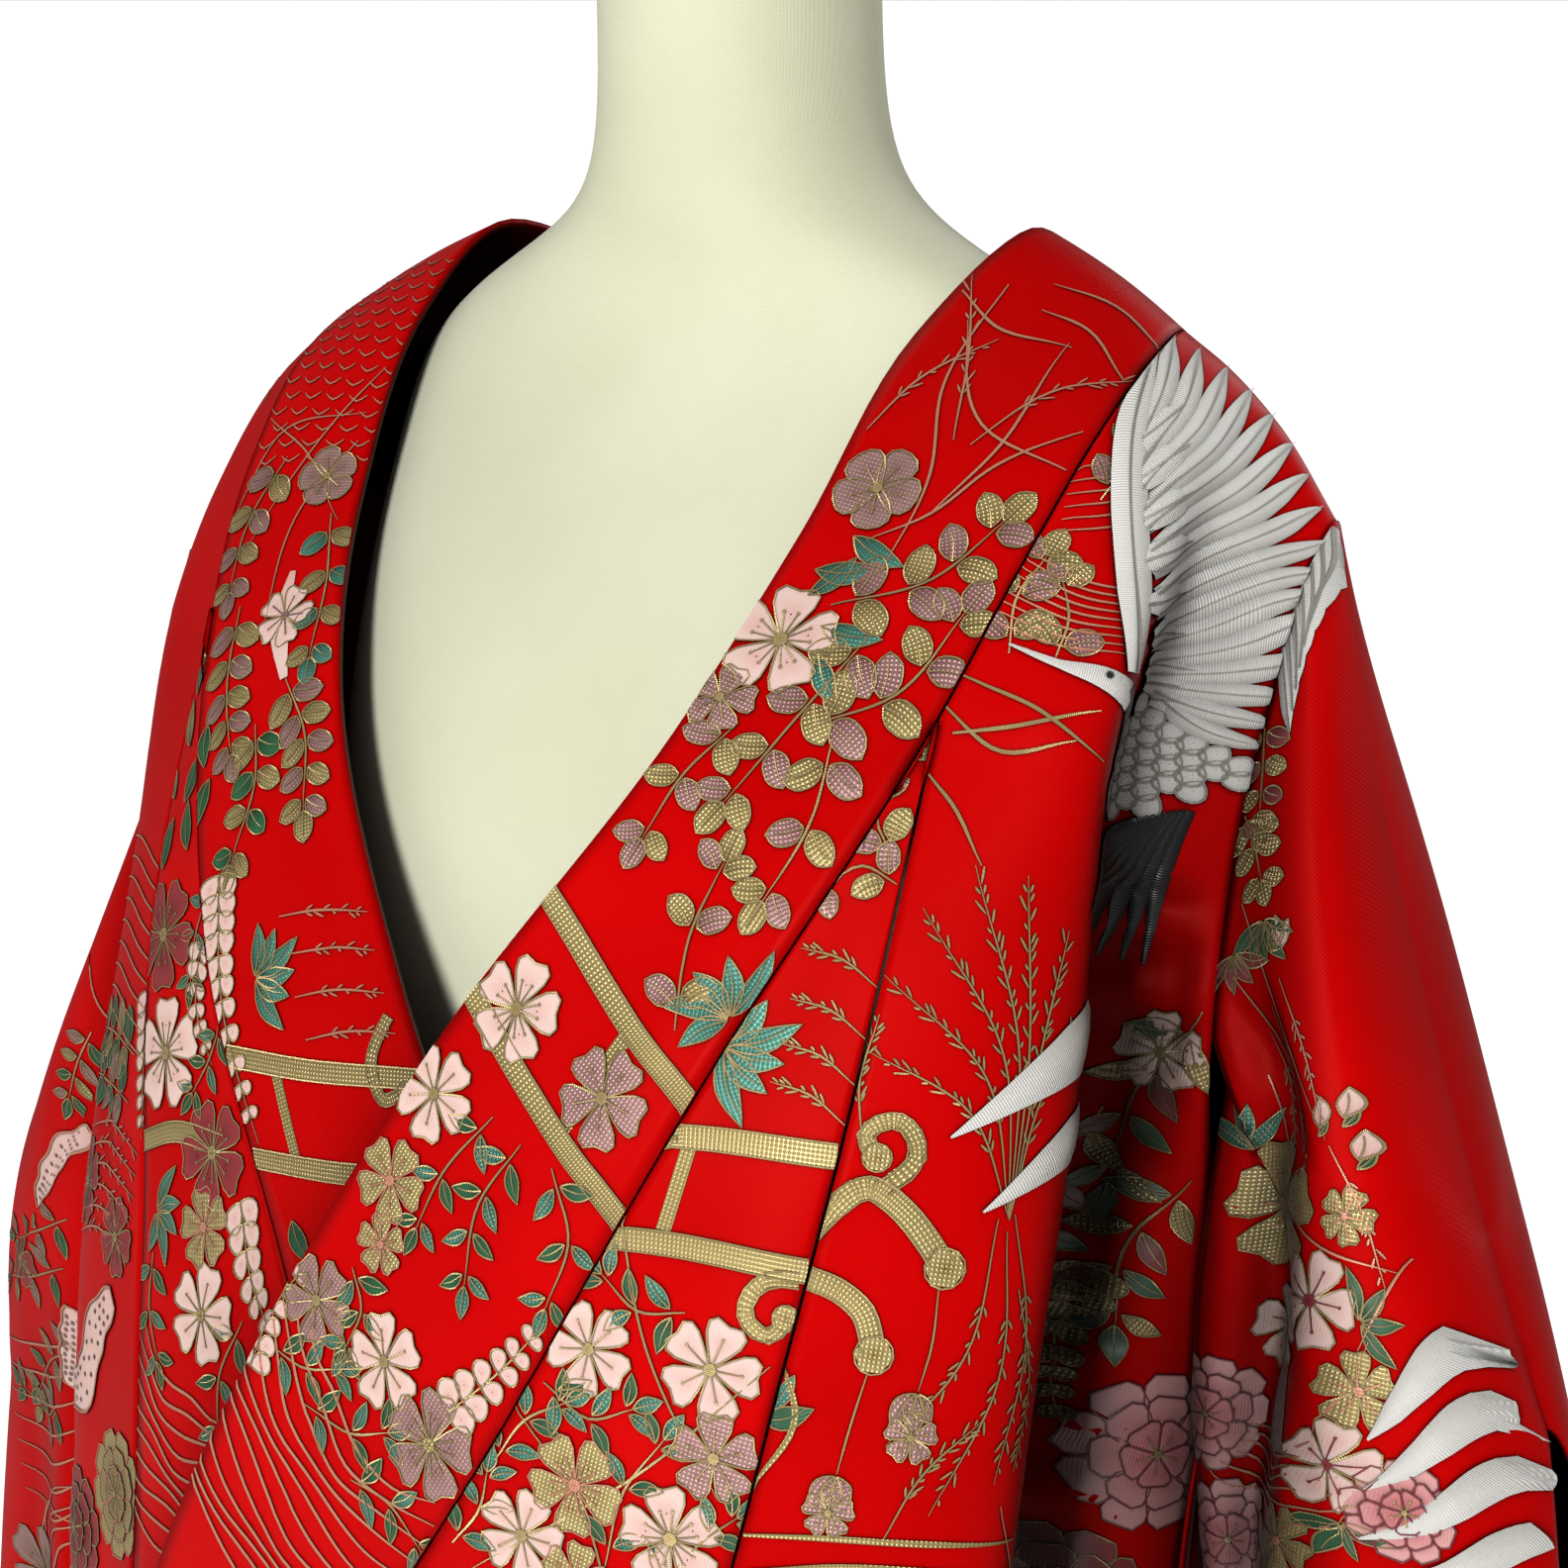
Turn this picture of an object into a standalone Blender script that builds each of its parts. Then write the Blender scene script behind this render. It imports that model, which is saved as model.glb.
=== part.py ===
"""Uchikake wedding kimono on a limbless dress form.

Metres, +Z up, the wearer's front faces -Y and the wearer's left is +X.
The origin is the centre of the underside of the stand's round base.
The garment is seven pieces of cloth. Each is a grid drawn through named rows and stations,
then given its wall by Solidify. Neighbours stop short of their seam, so they never touch.
"""
import math

import bmesh
import bpy
from mathutils import Vector

# --- driving sizes -----------------------------------------------------------------------------
CM = 0.01                 # the tables of rows are in centimetres
CLOTH = 0.0020            # wall of the lined silk
COLLAR_CLOTH = 0.0034     # wall of the folded collar
SEAM_INSET = 0.0006       # each piece stops this far short of its seam
ARMHOLE_INSET = 0.0012    # the same on the sleeve, where the cloth bends at the seam
COLLAR_BULGE = 0.0020     # how far the folded collar rounds out
COLLAR_END_RISE = 0.048   # the collar's lower end is cut square to its slant
OKUMI_TIP = 0.06          # the okumi stops this share of a row below ken-saki

SLEEVE_LENGTH = 0.98      # shoulder fold to sleeve bottom
CUFF_OPENING = 0.24       # open part of the sleeve's outer edge, below the fold
SLEEVE_CORNER = 0.08      # radius of the sleeve's outer bottom corner
SLEEVE_WIDTH = 0.33       # seam to cuff along the fold
FOLD_ROUND = 0.020        # radius of the soft fold at the top of a sleeve
EDGE_HALF = 0.0028        # half the thickness of a sleeve where its two sides are sewn

BASE_RADIUS = 0.165
BASE_THICKNESS = 0.010
HUB_RADIUS = 0.026
HUB_TOP = 0.055
POLE_RADIUS = 0.0125
HARD_GAP = 0.0004         # between hard pieces that meet

# --- rows of the garment -----------------------------------------------------------------------
# Stations across a row, from the front edge to the side:
#   edge    free edge of the collar
#   seam    collar seam; below the collar, the front edge of the okumi
#   okumi   seam between okumi and body, which meets the collar seam at ken-saki
#   ridge   rounded vertical fold at the outside of the front
#   valley  bottom of the recess behind that fold
#   outer   side seam, then armhole seam
# Skirt rows are level, and the same on both sides.
SKIRT = [
    # z     seam            okumi           ridge           valley          outer
    (0.4, (9.5, -33.0), (22.8, -28.4), (29.0, -19.2), (28.3, -14.6), (29.2, -4.0)),
    (2.2, (8.2, -31.2), (21.6, -27.0), (27.9, -18.4), (27.1, -14.0), (28.0, -3.9)),
    (18.0, (4.8, -28.6), (17.8, -25.8), (24.8, -17.8), (23.6, -13.8), (26.2, -3.7)),
    (45.0, (1.2, -27.2), (13.6, -25.6), (22.6, -18.6), (21.1, -14.6), (25.0, -4.1)),
]
# Front rows are level too, from the collar's lower end to the armhole.
FRONT_LEFT = [
    # z     edge             seam            okumi           ridge           valley          outer
    (70.0, (-13.6, -25.2), (-2.2, -26.8), (14.0, -24.6), (23.0, -18.0), (21.3, -14.2), (24.4, -4.1)),
    (90.0, (-10.8, -24.6), (0.8, -25.0), (15.0, -22.6), (23.8, -16.6), (22.0, -12.8), (24.6, -3.0)),
    (103.0, (-4.5, -23.6), (7.8, -23.2), (17.2, -20.6), (23.8, -14.0), (22.0, -10.4), (24.8, -2.2)),
    (115.8, (2.5, -20.4), (13.7, -19.3), (18.8, -17.4), (23.6, -10.8), (21.9, -7.2), (25.0, -4.0)),
]
FRONT_RIGHT = [
    (70.0, (12.8, -22.6), (1.6, -25.0), (-15.0, -24.0), (-23.4, -17.8), (-21.8, -14.0), (-24.4, -4.1)),
    (90.0, (11.2, -20.8), (0.2, -22.8), (-14.2, -22.2), (-23.8, -15.8), (-22.3, -12.0), (-24.6, -3.0)),
    (103.0, (7.0, -20.2), (-5.0, -21.2), (-15.0, -20.2), (-24.6, -13.4), (-23.2, -9.8), (-24.8, -2.2)),
    (115.8, (-2.2, -17.8), (-13.6, -17.4), (-18.4, -15.8), (-24.8, -10.2), (-23.6, -6.8), (-27.0, -3.6)),
]
# Shoulder rows climb from ken-saki, the point of the okumi, to the shoulder line.
SHOULDER_LEFT = [
    # edge                seam                  ridge                 valley                outer
    ((9, -15, 126.9), (18.1, -11.6, 128.1), (22.9, -8.2, 127.6), (21.7, -4.8, 126.8), (25, -1.6, 125.8)),
    ((10.4, -9.4, 133.5), (18.9, -7.8, 133), (22.7, -5.2, 132), (22.2, -2.6, 131), (25.3, -0.2, 129.8)),
    ((11.2, -3.6, 140.2), (19.6, -3, 138.1), (21.9, -1.8, 136.6), (22.8, -0.6, 135), (25.6, 0.8, 132.4)),
    ((13.1, 1.2, 143.9), (19.5, 1.2, 140.4), (21.5, 1.6, 139), (23.3, 2, 137.2), (25.8, 2.2, 133.8)),
]
SHOULDER_RIGHT = [
    ((-10.8, -12.2, 126.4), (-19.6, -10.8, 127.6), (-25.2, -7.8, 126.2), (-24, -4.6, 125.4),
     (-27.2, -1.4, 124.4)),
    ((-14.3, -7.2, 132.5), (-21.2, -7.2, 132.6), (-25.4, -4.8, 131.2), (-24.8, -2.4, 129.8),
     (-27.7, -0.2, 128.2)),
    ((-14.8, -2.6, 139.8), (-21.2, -2.8, 138), (-24.3, -1.4, 136.2), (-25.4, -0.4, 134.2),
     (-28.2, 0.8, 131.2)),
    ((-14.1, 1.2, 143), (-20.8, 1.2, 139.8), (-23.6, 1.6, 137.8), (-25.7, 2, 135.6),
     (-28.5, 2.2, 132.5)),
]
# Neck rows turn from the shoulder line round the back of the neck.
NECK = [
    ((12.2, 6.8, 141.6), (15.8, 7.8, 137.2), (18.4, 6.8, 136.4), (21.8, 5.4, 133.8), (25.3, 4.0, 131.2)),
    ((7.6, 11.6, 141.0), (9.4, 13.6, 134.4), (14.6, 12.8, 133.2), (19.8, 10.0, 130.2), (24.9, 6.4, 126.8)),
    ((0.0, 13.4, 141.0), (0.0, 15.6, 133.4), (9.2, 15.6, 130.0), (17.2, 13.0, 125.8), (24.8, 8.2, 121.8)),
]
# Back rows, from the armhole's back end down to the hem: centre, second, third and outer.
BACK = [
    ((0.0, 16.2, 122.0), (9.2, 16.0, 120.5), (17.6, 13.2, 118.0), (24.6, 7.6, 115.8)),
    ((0.0, 15.4, 105.0), (10.4, 14.6, 104.6), (20.0, 9.2, 104.0), (24.8, -2.2, 103.0)),
    ((0.0, 15.8, 72.0), (12.2, 14.6, 71.5), (22.2, 7.4, 71.0), (24.4, -4.1, 70.0)),
    ((0.0, 17.6, 45.0), (13.6, 15.8, 45.0), (23.6, 8.2, 45.0), (25.0, -4.1, 45.0)),
    ((0.0, 20.6, 18.0), (14.6, 18.2, 18.0), (25.0, 9.4, 18.0), (26.2, -3.7, 18.0)),
    ((0.0, 27.0, 2.2), (16.0, 22.4, 2.2), (26.2, 10.6, 2.2), (28.0, -3.9, 2.2)),
    ((0.0, 35.0, 0.4), (18.0, 28.4, 0.4), (27.8, 12.6, 0.4), (29.2, -4.0, 0.4)),
]
COLLAR_FIRST = len(SKIRT)                         # row at the collar's lower end
KEN_SAKI = COLLAR_FIRST + len(FRONT_LEFT)         # row of ken-saki
SHOULDER_LINE = KEN_SAKI + len(SHOULDER_LEFT) - 1
NECK_BACK = SHOULDER_LINE + len(NECK)             # the collar's middle, at the back of the neck
ARMHOLE = (KEN_SAKI - 1, NECK_BACK + 1)           # rows that the sleeve is sewn to
ROW_STEPS = [2, 3, 4, 4, 3, 3, 3, 3, 2, 2, 2, 2, 2, 2, 2, 3, 4, 4, 4, 3, 2]

# Sleeves: end of the top fold, flare of the outer edge, and soft vertical folds
# (share of the width, half width of the fold as a share, depth; the first is the front's valley).
SLEEVES = {
    "left": dict(side=1, fold_end=(37.2, -0.8, 103.0), bow=0.034, flare=0.036, lean=-0.022,
                 valley=(0.20, 0.09, 0.026)),
    "right": dict(side=-1, fold_end=(-41.0, 0.6, 101.5), bow=0.060, flare=0.105, lean=0.010,
                  valley=(0.42, 0.14, 0.012)),
}
# Metres below the fold at which a sleeve has a row; the last stands for its bottom.
SLEEVE_DROPS = [0.27, 0.36, 0.50, 0.65, 0.79, 0.89, 0.95, 0.975, 1.0]


def smooth(points, index, share):
    """Point on a smooth curve through the points, at a share of the way from one to the next."""
    before, start, end, after = (points[max(index - 1, 0)], points[index], points[index + 1],
                                 points[min(index + 2, len(points) - 1)])
    span = max((end - start).length, 1e-6)

    def slope(a, b, c):
        first, second = max((b - a).length, 1e-6), max((c - b).length, 1e-6)
        return ((b - a) / first * second + (c - b) / second * first) / (first + second)

    leave = slope(before, start, end) if index > 0 else (end - start) / span
    arrive = slope(start, end, after) if index + 2 < len(points) else (end - start) / span
    t2, t3 = share * share, share ** 3
    return (start * (2 * t3 - 3 * t2 + 1) + leave * span * (t3 - 2 * t2 + share)
            + end * (3 * t2 - 2 * t3) + arrive * span * (t3 - t2))


def level_row(row, side=1):
    height, *stations = row
    return [Vector((side * x, y, height)) * CM for x, y in stations]


def rows_of(side, front, shoulder):
    """Columns of control points, one list for each station, for one side of the garment."""
    columns = {name: {} for name in ("edge", "seam", "okumi", "ridge", "valley", "outer")}

    def put(number, names, points):
        for name, point in zip(names, points):
            columns[name][number] = Vector(point)

    for number, row in enumerate(SKIRT):
        put(number, ("seam", "okumi", "ridge", "valley", "outer"), level_row(row, side))
    for number, row in enumerate(front, COLLAR_FIRST):
        put(number, ("edge", "seam", "okumi", "ridge", "valley", "outer"), level_row(row))
    columns["edge"][COLLAR_FIRST].z += COLLAR_END_RISE
    upper = ("edge", "seam", "ridge", "valley", "outer")
    for number, row in enumerate(shoulder, KEN_SAKI):
        put(number, upper, [Vector(point) * CM for point in row])
    for number, row in enumerate(NECK, SHOULDER_LINE + 1):
        put(number, upper, [Vector((side * x, y, z)) * CM for x, y, z in row])
    columns["okumi"][KEN_SAKI] = columns["seam"][KEN_SAKI]
    columns["centre"] = {NECK_BACK: columns["seam"][NECK_BACK]}
    for number, row in enumerate(BACK, NECK_BACK + 1):
        put(number, ("centre", "ridge", "valley", "outer"),
            [Vector((side * x, y, z)) * CM for x, y, z in row])
    # The collar runs on past the centre of the neck, so its curves are level there.
    for name in ("edge", "seam"):
        beyond = columns[name][NECK_BACK - 1].copy()
        beyond.x = -beyond.x
        columns[name][NECK_BACK + 1] = beyond
    return columns


def column_point(column, row):
    """A point of one station's column at a row number, which may lie between two rows."""
    first = min(column)
    points = [column[number] for number in sorted(column)]
    index = min(int(row - first), len(points) - 2)
    return smooth(points, index, row - first - index)


def row_numbers(first, last):
    """Row numbers from first to last, with each row's steps in between."""
    numbers = [first + step / ROW_STEPS[first] for step in range(ROW_STEPS[first])]
    for row in range(first + 1, last):
        numbers += [row + step / ROW_STEPS[row] for step in range(ROW_STEPS[row])]
    return numbers + [float(last)]


def across(stations, steps, first=0):
    """Points along one row: through all stations, but only from station number first on."""
    points = []
    for index, count in enumerate(steps, first):
        points += [smooth(stations, index, step / count) for step in range(count)]
    return points + [smooth(stations, first + len(steps) - 1, 1.0)]


def pull_in(grid, left=0.0, right=0.0, top=0.0, bottom=0.0):
    """Move a grid's border points inwards along the cloth."""
    for row in grid:
        if left:
            row[0] = row[0] + (row[1] - row[0]).normalized() * left
        if right:
            row[-1] = row[-1] + (row[-2] - row[-1]).normalized() * right
    for border, inner, amount in ((0, 1, bottom), (-1, -2, top)):
        if amount:
            grid[border] = [point + (other - point).normalized() * amount
                            for point, other in zip(grid[border], grid[inner])]
    return grid


collection = bpy.data.collections.new("uchikake_on_dress_form")


def start_scene():
    for obj in list(bpy.data.objects):
        bpy.data.objects.remove(obj, do_unlink=True)
    bpy.context.scene.collection.children.link(collection)


def finish(name):
    """A Principled material for one finish."""
    colour, roughness, metallic = FINISHES[name]
    material = bpy.data.materials.get(name) or bpy.data.materials.new(name)
    material.use_nodes = True
    shader = material.node_tree.nodes["Principled BSDF"]
    shader.inputs["Base Color"].default_value = (*colour, 1.0)
    shader.inputs["Roughness"].default_value = roughness
    shader.inputs["Metallic"].default_value = metallic
    return material


FINISHES = {
    "red_silk": ((0.62, 0.008, 0.010), 0.42, 0.0),
    "form_cover": ((0.88, 0.83, 0.68), 0.80, 0.0),
    "painted_steel": ((0.80, 0.79, 0.76), 0.35, 0.6),
}


def cloth_sheet(name, grid, wall, flip=False):
    """One piece of cloth: a grid bent to its rows, with Solidify for its wall, inwards."""
    rows, stations = len(grid), len(grid[0])
    mesh = bpy.data.meshes.new(name)
    sheet = bmesh.new()
    bmesh.ops.create_grid(sheet, x_segments=stations - 1, y_segments=rows - 1, size=1.0)
    sheet.verts.ensure_lookup_table()
    for vertex in sheet.verts:
        station = round((vertex.co.x + 1) / 2 * (stations - 1))
        row = round((vertex.co.y + 1) / 2 * (rows - 1))
        vertex.co = grid[row][station]
    if flip:
        bmesh.ops.reverse_faces(sheet, faces=sheet.faces)
    sheet.to_mesh(mesh)
    sheet.free()
    mesh.shade_smooth()
    mesh.materials.append(finish("red_silk"))
    obj = bpy.data.objects.new(name, mesh)
    collection.objects.link(obj)
    solid = obj.modifiers.new("wall", "SOLIDIFY")
    solid.thickness = wall
    solid.offset = -1.0
    solid.use_even_offset = True
    solid.thickness_clamp = 0.0
    return obj


def body_panel(name, side, columns):
    """Front, shoulder and back of one side, in one length of cloth."""
    grid = []
    for row in row_numbers(0, NECK_BACK + len(BACK)):
        inner = "okumi" if row <= KEN_SAKI else ("seam" if row <= NECK_BACK else "centre")
        points = [column_point(columns[part], row) for part in (inner, "ridge", "valley", "outer")]
        if row < KEN_SAKI:
            points.insert(0, column_point(columns["seam"], row))
            grid.append(across(points, (4, 3, 3), first=1))
        else:
            grid.append(across(points, (4, 3, 3)))
    pull_in(grid, left=SEAM_INSET, right=SEAM_INSET)
    return cloth_sheet(name, grid, CLOTH, flip=side < 0)


def okumi_panel(name, side, columns):
    """The front gore, from the hem to its point."""
    numbers = row_numbers(0, KEN_SAKI)
    numbers[-1] -= OKUMI_TIP
    grid = []
    for row in numbers:
        parts = ("seam", "okumi", "ridge", "valley", "outer")
        points = [column_point(columns[part], row) for part in parts]
        grid.append(across(points, (3,)))
    below_collar = len(row_numbers(0, COLLAR_FIRST))
    pull_in(grid, right=SEAM_INSET)
    pull_in(grid[below_collar - 1:], left=SEAM_INSET)
    return cloth_sheet(name, grid, CLOTH, flip=side < 0)


def collar_strip(name, left, right):
    """The folded collar, up one front, round the neck and down the other."""
    grid = []
    numbers_up = row_numbers(COLLAR_FIRST, NECK_BACK)
    for columns, numbers in ((left, numbers_up), (right, numbers_up[-2::-1])):
        for row in numbers:
            edge, seam = column_point(columns["edge"], row), column_point(columns["seam"], row)
            next_row = row + 0.1 if row + 0.1 <= NECK_BACK else row - 0.1
            run = (column_point(columns["seam"], next_row) - seam) * (1 if next_row > row else -1)
            run = run if columns is left else -run
            out = (seam - edge).cross(run).normalized()
            shares = (0.0, 0.34, 0.67, 1.0)
            grid.append([edge.lerp(seam, share) + out * COLLAR_BULGE * math.sin(math.pi * share)
                         for share in shares])
    pull_in(grid, right=SEAM_INSET)
    return cloth_sheet(name, grid, COLLAR_CLOTH)


def sleeve_panel(name, columns, side, fold_end, bow, flare, lean, valley):
    """One sleeve, from the front's bottom over the fold at the top to the back's bottom."""
    fold_start, fold_stop = columns["outer"][SHOULDER_LINE], Vector(fold_end) * CM
    sewn = [(row, column_point(columns["outer"], row)) for row in row_numbers(*ARMHOLE)]
    top = next(number for number, (row, point) in enumerate(sewn) if row == SHOULDER_LINE)
    lengths = [0.0] * len(sewn)
    for number in range(top + 1, len(sewn)):
        lengths[number] = lengths[number - 1] + (sewn[number][1] - sewn[number - 1][1]).length
    for number in range(top - 1, -1, -1):
        lengths[number] = lengths[number + 1] - (sewn[number][1] - sewn[number + 1][1]).length
    drops = [drop * (SLEEVE_LENGTH if drop == 1.0 else 1.0) for drop in SLEEVE_DROPS]
    free_front = [-drop for drop in reversed(drops)]
    threads = [(length, None) for length in free_front]
    threads += [(length, point) for length, (row, point) in zip(lengths, sewn)]
    threads += [(length, None) for length in drops]
    shares = [0.0, 0.08, 0.16, 0.25, 0.40, 0.58, 0.76, 0.90, 0.975, 1.0]

    def hang(share, length):
        layer = -1 if length < 0 else 1
        down = abs(length)
        past = max(0.0, (share - 1) * SLEEVE_WIDTH + SLEEVE_CORNER)
        cut = SLEEVE_CORNER - math.sqrt(max(SLEEVE_CORNER ** 2 - past ** 2, 0.0))
        down *= 1 - cut / SLEEVE_LENGTH * min(1.0, down / SLEEVE_LENGTH) ** 3
        start = fold_start.lerp(fold_stop, share)
        start.x += side * bow * (share ** 2 - share)
        point = start.copy()
        point.z -= math.sqrt(down ** 2 + FOLD_ROUND ** 2) - FOLD_ROUND
        point.x += side * flare * share * (1 - math.exp(-down / 0.12))
        clear = 0.012 if layer > 0 else 0.012 - 0.024 * math.exp(-((down - 0.32) / 0.16) ** 2)
        point.x += side * clear * (1 - share) * min(1.0, down / 0.3)
        full = 0.044 + 0.016 * math.sin(math.pi * min(1.0, share * 1.1))
        full *= 1 - 0.62 * min(1.0, down / SLEEVE_LENGTH) ** 1.5
        open_edge = 0.018 * max(0.0, 1 - (down / CUFF_OPENING) ** 4)
        to_edge = math.sqrt(max(0.0, 1 - max(0.0, (share - 0.70) / 0.30) ** 2.2))
        half = open_edge + (full - open_edge) * to_edge
        to_bottom = math.sqrt(max(0.0, 1 - (max(0.0, down - 0.86) / 0.12) ** 2))
        half *= (1 - math.exp(-down / 0.045)) * min(1.0, to_bottom)
        centre, width, depth = valley
        if layer < 0:
            dip = math.exp(-((share - centre) / width) ** 2) * min(1.0, max(0.0, (down - 0.12) / 0.12))
            half -= min(depth, half * 0.6) * dip
        point.y += layer * max(half, EDGE_HALF if down > 0.01 else 0.0) + lean * min(1.0, down / 0.25)
        return point

    grid = []
    for length, sewn_at in threads:
        row = [hang(share, length) for share in shares]
        if sewn_at is not None:
            shift = sewn_at - row[0]
            row = [point + shift * (1 - min(1.0, share / 0.45)) ** 2 for point, share in zip(row, shares)]
            row[0] = row[0] + (row[1] - row[0]).normalized() * ARMHOLE_INSET
        grid.append(row)
    return cloth_sheet(name, grid, CLOTH, flip=side < 0)


def ring_body(name, rings, finish_name):
    """A closed cage of oval rings with Subdivision Surface."""
    points = 16
    mesh = bpy.data.meshes.new(name)
    cage = bmesh.new()
    loops = []
    for height, half_width, half_depth, centre_y in rings:
        angles = [2 * math.pi * number / points for number in range(points)]
        loops.append([cage.verts.new((half_width * math.cos(angle),
                                      centre_y + half_depth * math.sin(angle), height))
                      for angle in angles])
    for lower, upper in zip(loops, loops[1:]):
        for number in range(points):
            after = (number + 1) % points
            cage.faces.new((lower[number], lower[after], upper[after], upper[number]))
    cage.faces.new(loops[0][::-1])
    cage.faces.new(loops[-1])
    cage.to_mesh(mesh)
    cage.free()
    mesh.shade_smooth()
    mesh.materials.append(finish(finish_name))
    obj = bpy.data.objects.new(name, mesh)
    collection.objects.link(obj)
    surface = obj.modifiers.new("smooth", "SUBSURF")
    surface.levels = 1
    surface.render_levels = 1
    return obj


# Rings of the form: height, half width, half depth, centre in y. Doubled rings keep a flat end.
TORSO_RINGS = [
    (0.860, 0.140, 0.108, 0.000),
    (0.862, 0.150, 0.116, 0.000),
    (0.885, 0.168, 0.130, 0.000),
    (0.945, 0.174, 0.136, 0.000),
    (1.040, 0.170, 0.134, -0.004),
    (1.120, 0.174, 0.140, -0.010),
    (1.210, 0.184, 0.138, -0.010),
    (1.290, 0.188, 0.112, 0.000),
    (1.345, 0.192, 0.082, 0.014),
    (1.382, 0.182, 0.064, 0.016),
    (1.410, 0.144, 0.055, 0.014),
    (1.430, 0.100, 0.056, 0.010),
    (1.450, 0.067, 0.059, 0.005),
    (1.485, 0.057, 0.056, 0.002),
    (1.560, 0.0575, 0.0565, 0.000),
    (1.594, 0.060, 0.059, 0.000),
    (1.600, 0.054, 0.053, 0.000),
]


def build_torso():
    return ring_body("form_torso", TORSO_RINGS, "form_cover")


def turned(name, profile, finish_name):
    """A turned piece: the profile at +X runs from the top centre down its outer side."""
    mesh = bpy.data.meshes.new(name)
    line = bmesh.new()
    verts = [line.verts.new((radius, 0.0, height)) for radius, height in profile]
    for first, second in zip(verts, verts[1:]):
        line.edges.new((first, second))
    line.to_mesh(mesh)
    line.free()
    mesh.materials.append(finish(finish_name))
    obj = bpy.data.objects.new(name, mesh)
    collection.objects.link(obj)
    screw = obj.modifiers.new("turn", "SCREW")
    screw.steps = 40
    screw.render_steps = 40
    screw.use_merge_vertices = True
    screw.merge_threshold = 0.0001
    return obj


def build_base():
    return turned("form_base", [
        (0.0, HUB_TOP),
        (HUB_RADIUS - 0.002, HUB_TOP),
        (HUB_RADIUS, HUB_TOP - 0.002),
        (HUB_RADIUS, BASE_THICKNESS + 0.006),
        (HUB_RADIUS + 0.006, BASE_THICKNESS),
        (BASE_RADIUS - 0.003, BASE_THICKNESS),
        (BASE_RADIUS, BASE_THICKNESS - 0.003),
        (BASE_RADIUS, 0.0),
        (0.0, 0.0),
    ], "painted_steel")


def build_pole():
    low, high = HUB_TOP + HARD_GAP, TORSO_RINGS[0][0] - HARD_GAP
    bpy.ops.mesh.primitive_cylinder_add(vertices=32, radius=POLE_RADIUS, depth=high - low,
                                        location=(0.0, 0.0, (low + high) / 2))
    pole = bpy.context.object
    pole.name = "form_pole"
    pole.data.shade_smooth()
    pole.data.set_sharp_from_angle(angle=math.radians(40))
    pole.data.materials.append(finish("painted_steel"))
    for other in list(pole.users_collection):
        other.objects.unlink(pole)
    collection.objects.link(pole)
    return pole


start_scene()
left = rows_of(1, FRONT_LEFT, SHOULDER_LEFT)
right = rows_of(-1, FRONT_RIGHT, SHOULDER_RIGHT)
for word, side, columns in (("left", 1, left), ("right", -1, right)):
    body_panel("body_" + word, side, columns)
    okumi_panel("okumi_" + word, side, columns)
    sleeve_panel("sleeve_" + word, columns, **SLEEVES[word])
collar_strip("collar", left, right)
build_torso()
build_pole()
build_base()
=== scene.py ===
import math
import random

import bmesh
import bpy
import numpy as np
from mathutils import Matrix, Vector


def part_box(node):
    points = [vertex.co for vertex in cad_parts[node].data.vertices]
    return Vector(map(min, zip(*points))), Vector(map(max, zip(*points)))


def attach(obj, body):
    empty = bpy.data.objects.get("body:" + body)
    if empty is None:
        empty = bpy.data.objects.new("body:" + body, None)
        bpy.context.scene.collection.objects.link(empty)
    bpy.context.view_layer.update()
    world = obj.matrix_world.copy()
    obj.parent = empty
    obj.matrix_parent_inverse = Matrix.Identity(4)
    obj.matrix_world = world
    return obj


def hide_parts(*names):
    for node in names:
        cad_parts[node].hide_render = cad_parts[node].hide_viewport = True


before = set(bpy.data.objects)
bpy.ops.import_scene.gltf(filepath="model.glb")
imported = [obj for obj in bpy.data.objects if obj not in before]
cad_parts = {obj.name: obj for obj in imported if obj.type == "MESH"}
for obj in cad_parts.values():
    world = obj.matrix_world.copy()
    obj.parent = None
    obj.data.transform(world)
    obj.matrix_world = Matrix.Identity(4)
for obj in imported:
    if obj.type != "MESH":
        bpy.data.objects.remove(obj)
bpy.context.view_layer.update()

# --- Camera, floor and light -------------------------------------------------------------------
# A close view of the upper part, from the wearer's left front and a little above.
# The floor is one pale sheet. Three large soft lights stand round the form.
CAMERA_AIM = Vector((0.0142, 0.0111, 1.207))
CAMERA_TURN, CAMERA_DROP = math.radians(38), math.radians(14)
CAMERA_AWAY = 1.30
CAMERA_ANGLE = math.radians(28)
FLOOR_SIDE, FLOOR_DEPTH = 30000.0, 0.0005
FLOOR_GLOW_SEEN, FLOOR_GLOW = 0.95, 0.04        # the camera sees both, and the cloth only the second
SKY_STRENGTH = 0.13
LIGHTS_AIM = Vector((0.0, 0.0, 1.1))

view_back = Vector((math.sin(CAMERA_TURN) * math.cos(CAMERA_DROP),
                    -math.cos(CAMERA_TURN) * math.cos(CAMERA_DROP),
                    math.sin(CAMERA_DROP)))
camera = bpy.data.objects.new("camera", bpy.data.cameras.new("camera"))
camera.data.angle = CAMERA_ANGLE
camera.data.clip_start = 0.02
camera.data.clip_end = 20000.0
camera.location = CAMERA_AIM + view_back * CAMERA_AWAY
camera.rotation_euler = view_back.to_track_quat("Z", "Y").to_euler()
bpy.context.scene.collection.objects.link(camera)
bpy.context.scene.camera = camera
bpy.context.scene.view_settings.view_transform = "Standard"

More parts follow.
